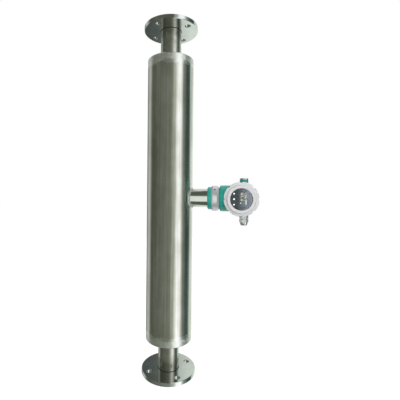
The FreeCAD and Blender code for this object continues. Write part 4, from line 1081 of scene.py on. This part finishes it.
# Dark flags over and under the camera, mirrored as the dark bands of the stub: height and reach, from where
# to where they run, in degrees right of straight behind the meter, and how far back their hub lies
FLAGS = ((2.54, 2.9), (-1.46, 1.8))
FLAG_SWEEP = (168, 240)
FLAG_BACK = 0.3
FLOOR_HALF = 6.0
FLOOR_GLOW = 0.9
# Lamps that light the meter and that no mirror shows: where they hang and what they face
LAMP_PLACES = {"key_lamp": (0.45, -2.2, 0.5), "top_lamp": (0.2, 0.2, 2.6), "back_lamp": (0.45, 2.2, 0.9)}
LAMP_AIM = Vector((0.1, 0, STUB_HEIGHT))
LAMP_WIDTH = 1.5
# Soft boxes that face straight back, each for a few pieces: place, width, height and the pieces
BOX_PLACE = (0.1, -0.62, 0.405)
SOFT_BOXES = {
    "stub_box": (BOX_PLACE, 0.7, 0.77, ["stub_tube"]),
    "fitting_box": (BOX_PLACE, 0.7, 0.77, ["clamp_ring", "gland_body", "gland_nut", "blind_plug"]),
    "window_box": ((0.243, -0.6, 0.517), 0.14, 0.14, ["window_glass"]),
}
# The window's box is bluish and grows from dark to full between two shares of its width
WINDOW_TINT = "#dfeaff"
WINDOW_DARK = 0.38
WINDOW_FULL = 0.92


class METER_OT_stage(bpy.types.Operator):
    """Set the floor, the surround, the lamps and the camera"""
    bl_idname = "meter.stage"
    bl_label = "Set Stage"

    def execute(self, context):
        settings = context.scene.meter_stage
        self.set_world(context, settings)
        self.set_floor()
        self.set_surround(settings)
        self.set_flags(settings)
        self.set_lamps(settings)
        self.set_camera(context, settings)
        context.scene.view_settings.view_transform = "Standard"
        return {"FINISHED"}

    def seen_directly(self, tree):
        """One for camera, glossy and transmitted rays, nought for the rays that carry soft light."""
        path = add(tree, "ShaderNodeLightPath").outputs
        mirrored = add(tree, "ShaderNodeMath", {0: path["Is Camera Ray"], 1: path["Is Glossy Ray"]},
                       operation="MAXIMUM")
        seen = add(tree, "ShaderNodeMath", {0: mirrored.outputs[0], 1: path["Is Transmission Ray"]},
                   operation="MAXIMUM")
        return seen.outputs[0]

    def set_world(self, context, settings):
        """A soft sky that looks white."""
        world = bpy.data.worlds.new("studio_sky")
        world.use_nodes = True
        tree = world.node_tree
        tree.nodes.clear()
        sky = add(tree, "ShaderNodeBackground", {"Color": linear("#ffffff"), "Strength": settings.sky})
        white = add(tree, "ShaderNodeBackground", {"Color": linear("#ffffff"), "Strength": 1.0})
        both = add(tree, "ShaderNodeMixShader",
                   {0: self.seen_directly(tree), 1: sky.outputs[0], 2: white.outputs[0]})
        add(tree, "ShaderNodeOutputWorld", {"Surface": both.outputs[0]})
        context.scene.world = world

    def set_floor(self):
        """A pale matt floor that looks white where no shadow falls."""
        material, tree = new_material("pale_floor")
        matt = add(tree, "ShaderNodeBsdfDiffuse", {"Color": linear("#959595")})
        glow = add(tree, "ShaderNodeEmission", {"Color": linear("#ffffff"), "Strength": FLOOR_GLOW})
        dark = add(tree, "ShaderNodeEmission", {"Strength": 0.0})
        lit = add(tree, "ShaderNodeMixShader",
                  {0: self.seen_directly(tree), 1: dark.outputs[0], 2: glow.outputs[0]})
        both = add(tree, "ShaderNodeAddShader", {0: matt.outputs[0], 1: lit.outputs[0]})
        add(tree, "ShaderNodeOutputMaterial", {"Surface": both.outputs[0]})
        mesh = bpy.data.meshes.new("floor")
        half = FLOOR_HALF
        mesh.from_pydata([(-half, -half, 0), (half, -half, 0), (half, half, 0), (-half, half, 0)], [],
                         [(0, 1, 2, 3)])
        mesh.materials.append(material)
        floor = add_object("floor", mesh)
        floor.visible_glossy = False

    def set_surround(self, settings):
        """A wall of glowing panels round the meter."""
        material, tree = new_material("studio_surround")
        place = add(tree, "ShaderNodeTexCoord").outputs["Object"]
        turned = add(tree, "ShaderNodeVectorRotate", {"Vector": place, "Angle": -settings.azimuth},
                     rotation_type="Z_AXIS")
        axes = add(tree, "ShaderNodeSeparateXYZ", {"Vector": turned.outputs["Vector"]}).outputs
        angle = add(tree, "ShaderNodeMath", {0: axes["X"], 1: axes["Y"]}, operation="ARCTAN2")
        share = add(tree, "ShaderNodeMapRange",
                    {"Value": angle.outputs[0], "From Min": -math.pi, "From Max": math.pi})
        bands = add(tree, "ShaderNodeValToRGB", {"Fac": share.outputs["Result"]})
        stops = bands.color_ramp.elements
        while len(stops) < 2 * len(PANELS):
            stops.new(0.5)
        for k, (start, end, first, last) in enumerate(PANELS):
            for stop, degrees, tone in ((stops[2 * k], start, first), (stops[2 * k + 1], end, last)):
                stop.position = (degrees + 180) / 360
                stop.color = linear(tone)
        clouds = add(tree, "ShaderNodeMapRange",
                     {"Value": grain(tree, CLOUD_WIDTH), "From Min": NOISE_LOW, "From Max": NOISE_HIGH,
                      "To Min": (1 - CLOUD_SHARE) * PANEL_LEVEL, "To Max": (1 + CLOUD_SHARE) * PANEL_LEVEL})
        fall = add(tree, "ShaderNodeMapRange",
                   {"Value": axes["Z"], "From Min": FALL_LOW, "From Max": FALL_HIGH,
                    "To Min": LOW_SHARE, "To Max": HIGH_SHARE})
        level = add(tree, "ShaderNodeMath", {0: clouds.outputs["Result"], 1: fall.outputs["Result"]},
                    operation="MULTIPLY")
        glow = add(tree, "ShaderNodeEmission",
                   {"Color": bands.outputs["Color"], "Strength": level.outputs[0]})
        add(tree, "ShaderNodeOutputMaterial", {"Surface": glow.outputs[0]})
        wall = bmesh.new()
        bmesh.ops.create_cone(wall, segments=180, radius1=SURROUND_RADIUS, radius2=SURROUND_RADIUS,
                              depth=SURROUND_HIGH - SURROUND_LOW)
        bmesh.ops.translate(wall, verts=wall.verts, vec=(0, 0, (SURROUND_HIGH + SURROUND_LOW) / 2))
        mesh = as_mesh(wall, "surround")
        mesh.materials.append(material)
        self.add_mirrored(mesh)

    def set_flags(self, settings):
        """Dark flat fans over and under the camera."""
        material, tree = new_material("dark_flag")
        glow = add(tree, "ShaderNodeEmission", {"Color": linear("#686d64")})
        add(tree, "ShaderNodeOutputMaterial", {"Surface": glow.outputs[0]})
        start, end = (math.radians(90 - turn) + settings.azimuth for turn in FLAG_SWEEP)
        steps = 24
        turns = [start + (end - start) * step / steps for step in range(steps + 1)]
        for k, (height, reach) in enumerate(FLAGS):
            corners = [(0, FLAG_BACK, height)] + circle(reach, height, turns)
            mesh = bpy.data.meshes.new(f"flag_{k + 1}")
            mesh.from_pydata(corners, [], [(0, step, step + 1) for step in range(1, steps + 1)])
            mesh.materials.append(material)
            self.add_mirrored(mesh)

    def add_mirrored(self, mesh):
        """A piece of the stage that only mirrors see."""
        card = add_object(mesh.name, mesh)
        card.visible_camera = False
        card.visible_diffuse = False
        card.visible_transmission = False
        card.visible_shadow = False

    def set_lamps(self, settings):
        """Large lamps for the light, and soft boxes that only some pieces mirror."""
        for name, place in LAMP_PLACES.items():
            lamp = self.add_lamp(name, place, LAMP_AIM, getattr(settings, name), LAMP_WIDTH, LAMP_WIDTH)
            lamp.visible_glossy = False
            lamp.visible_transmission = False
        for name, (place, width, height, nodes) in SOFT_BOXES.items():
            aim = Vector((place[0], 0, place[2]))
            box = self.add_lamp(name, place, aim, getattr(settings, name), width, height)
            box.visible_camera = False
            mirrors = bpy.data.collections.new(f"{name}_mirrors")
            for node in nodes:
                mirrors.objects.link(NODES[node])
            box.light_linking.receiver_collection = mirrors
        self.grade(bpy.data.lights["window_box"])

    def add_lamp(self, name, place, aim, watts, width, height):
        """A rectangular lamp at a place, facing a point."""
        light = bpy.data.lights.new(name, "AREA")
        light.energy = watts
        light.shape = "RECTANGLE"
        light.size = width
        light.size_y = height
        lamp = add_object(name, light)
        lamp.location = place
        lamp.rotation_euler = (aim - Vector(place)).to_track_quat("-Z", "Y").to_euler()
        return lamp

    def grade(self, light):
        """Tint a lamp and let it grow from dark to full across its width."""
        light.color = linear(WINDOW_TINT)[:3]
        light.use_nodes = True
        tree = light.node_tree
        across = add(tree, "ShaderNodeNewGeometry").outputs["Parametric"]
        share = add(tree, "ShaderNodeSeparateXYZ", {"Vector": across})
        level = add(tree, "ShaderNodeMapRange",
                    {"Value": share.outputs["X"], "From Min": WINDOW_DARK, "From Max": WINDOW_FULL})
        tree.links.new(level.outputs["Result"], tree.nodes["Emission"].inputs["Strength"])

    def set_camera(self, context, settings):
        """A camera that looks level, leans by the roll and shifts its lens."""
        right = Vector((math.cos(settings.azimuth), math.sin(settings.azimuth), 0))
        ahead = Vector((-math.sin(settings.azimuth), math.cos(settings.azimuth), 0))
        up = Vector((0, 0, 1))
        eye = right * settings.side_step - ahead * settings.distance + up * settings.eye_height
        lean_right = right * math.cos(settings.roll) + up * math.sin(settings.roll)
        lean_up = up * math.cos(settings.roll) - right * math.sin(settings.roll)
        lens = bpy.data.cameras.new("camera")
        lens.lens = settings.lens
        lens.shift_x = settings.shift_x
        lens.shift_y = settings.shift_y
        camera = add_object("camera", lens)
        turn = Matrix((lean_right, lean_up, -ahead)).transposed().to_4x4()
        camera.matrix_world = Matrix.Translation(eye) @ turn
        context.scene.camera = camera


class METER_PT_panel(bpy.types.Panel):
    """Steps that finish the flow meter, and their settings"""
    bl_label = "Flow Meter"
    bl_idname = "METER_PT_panel"
    bl_space_type = "VIEW_3D"
    bl_region_type = "UI"
    bl_category = "Flow Meter"

    def draw(self, context):
        for step in STEPS:
            self.layout.operator(step.bl_idname)
        for group in (context.scene.meter_finish, context.scene.meter_stage):
            box = self.layout.box()
            for name in group.__annotations__:
                box.prop(group, name)


STEPS = (
    METER_OT_pipework, METER_OT_welds, METER_OT_joint_seals, METER_OT_swivel, METER_OT_housing,
    METER_OT_threads, METER_OT_fittings, METER_OT_display, METER_OT_inner_works, METER_OT_stage,
)
CLASSES = (MeterFinish, MeterStage) + STEPS + (METER_PT_panel,)


def register():
    for one in CLASSES:
        bpy.utils.register_class(one)
    bpy.types.Scene.meter_finish = bpy.props.PointerProperty(type=MeterFinish)
    bpy.types.Scene.meter_stage = bpy.props.PointerProperty(type=MeterStage)


def unregister():
    del bpy.types.Scene.meter_stage
    del bpy.types.Scene.meter_finish
    for one in reversed(CLASSES):
        bpy.utils.unregister_class(one)


def main():
    register()
    bpy.ops.meter.pipework()
    bpy.ops.meter.welds()
    bpy.ops.meter.joint_seals()
    bpy.ops.meter.swivel()
    bpy.ops.meter.housing()
    bpy.ops.meter.threads()
    bpy.ops.meter.fittings()
    bpy.ops.meter.display()
    bpy.ops.meter.inner_works()
    bpy.ops.meter.stage()


if __name__ == "__main__":
    main()
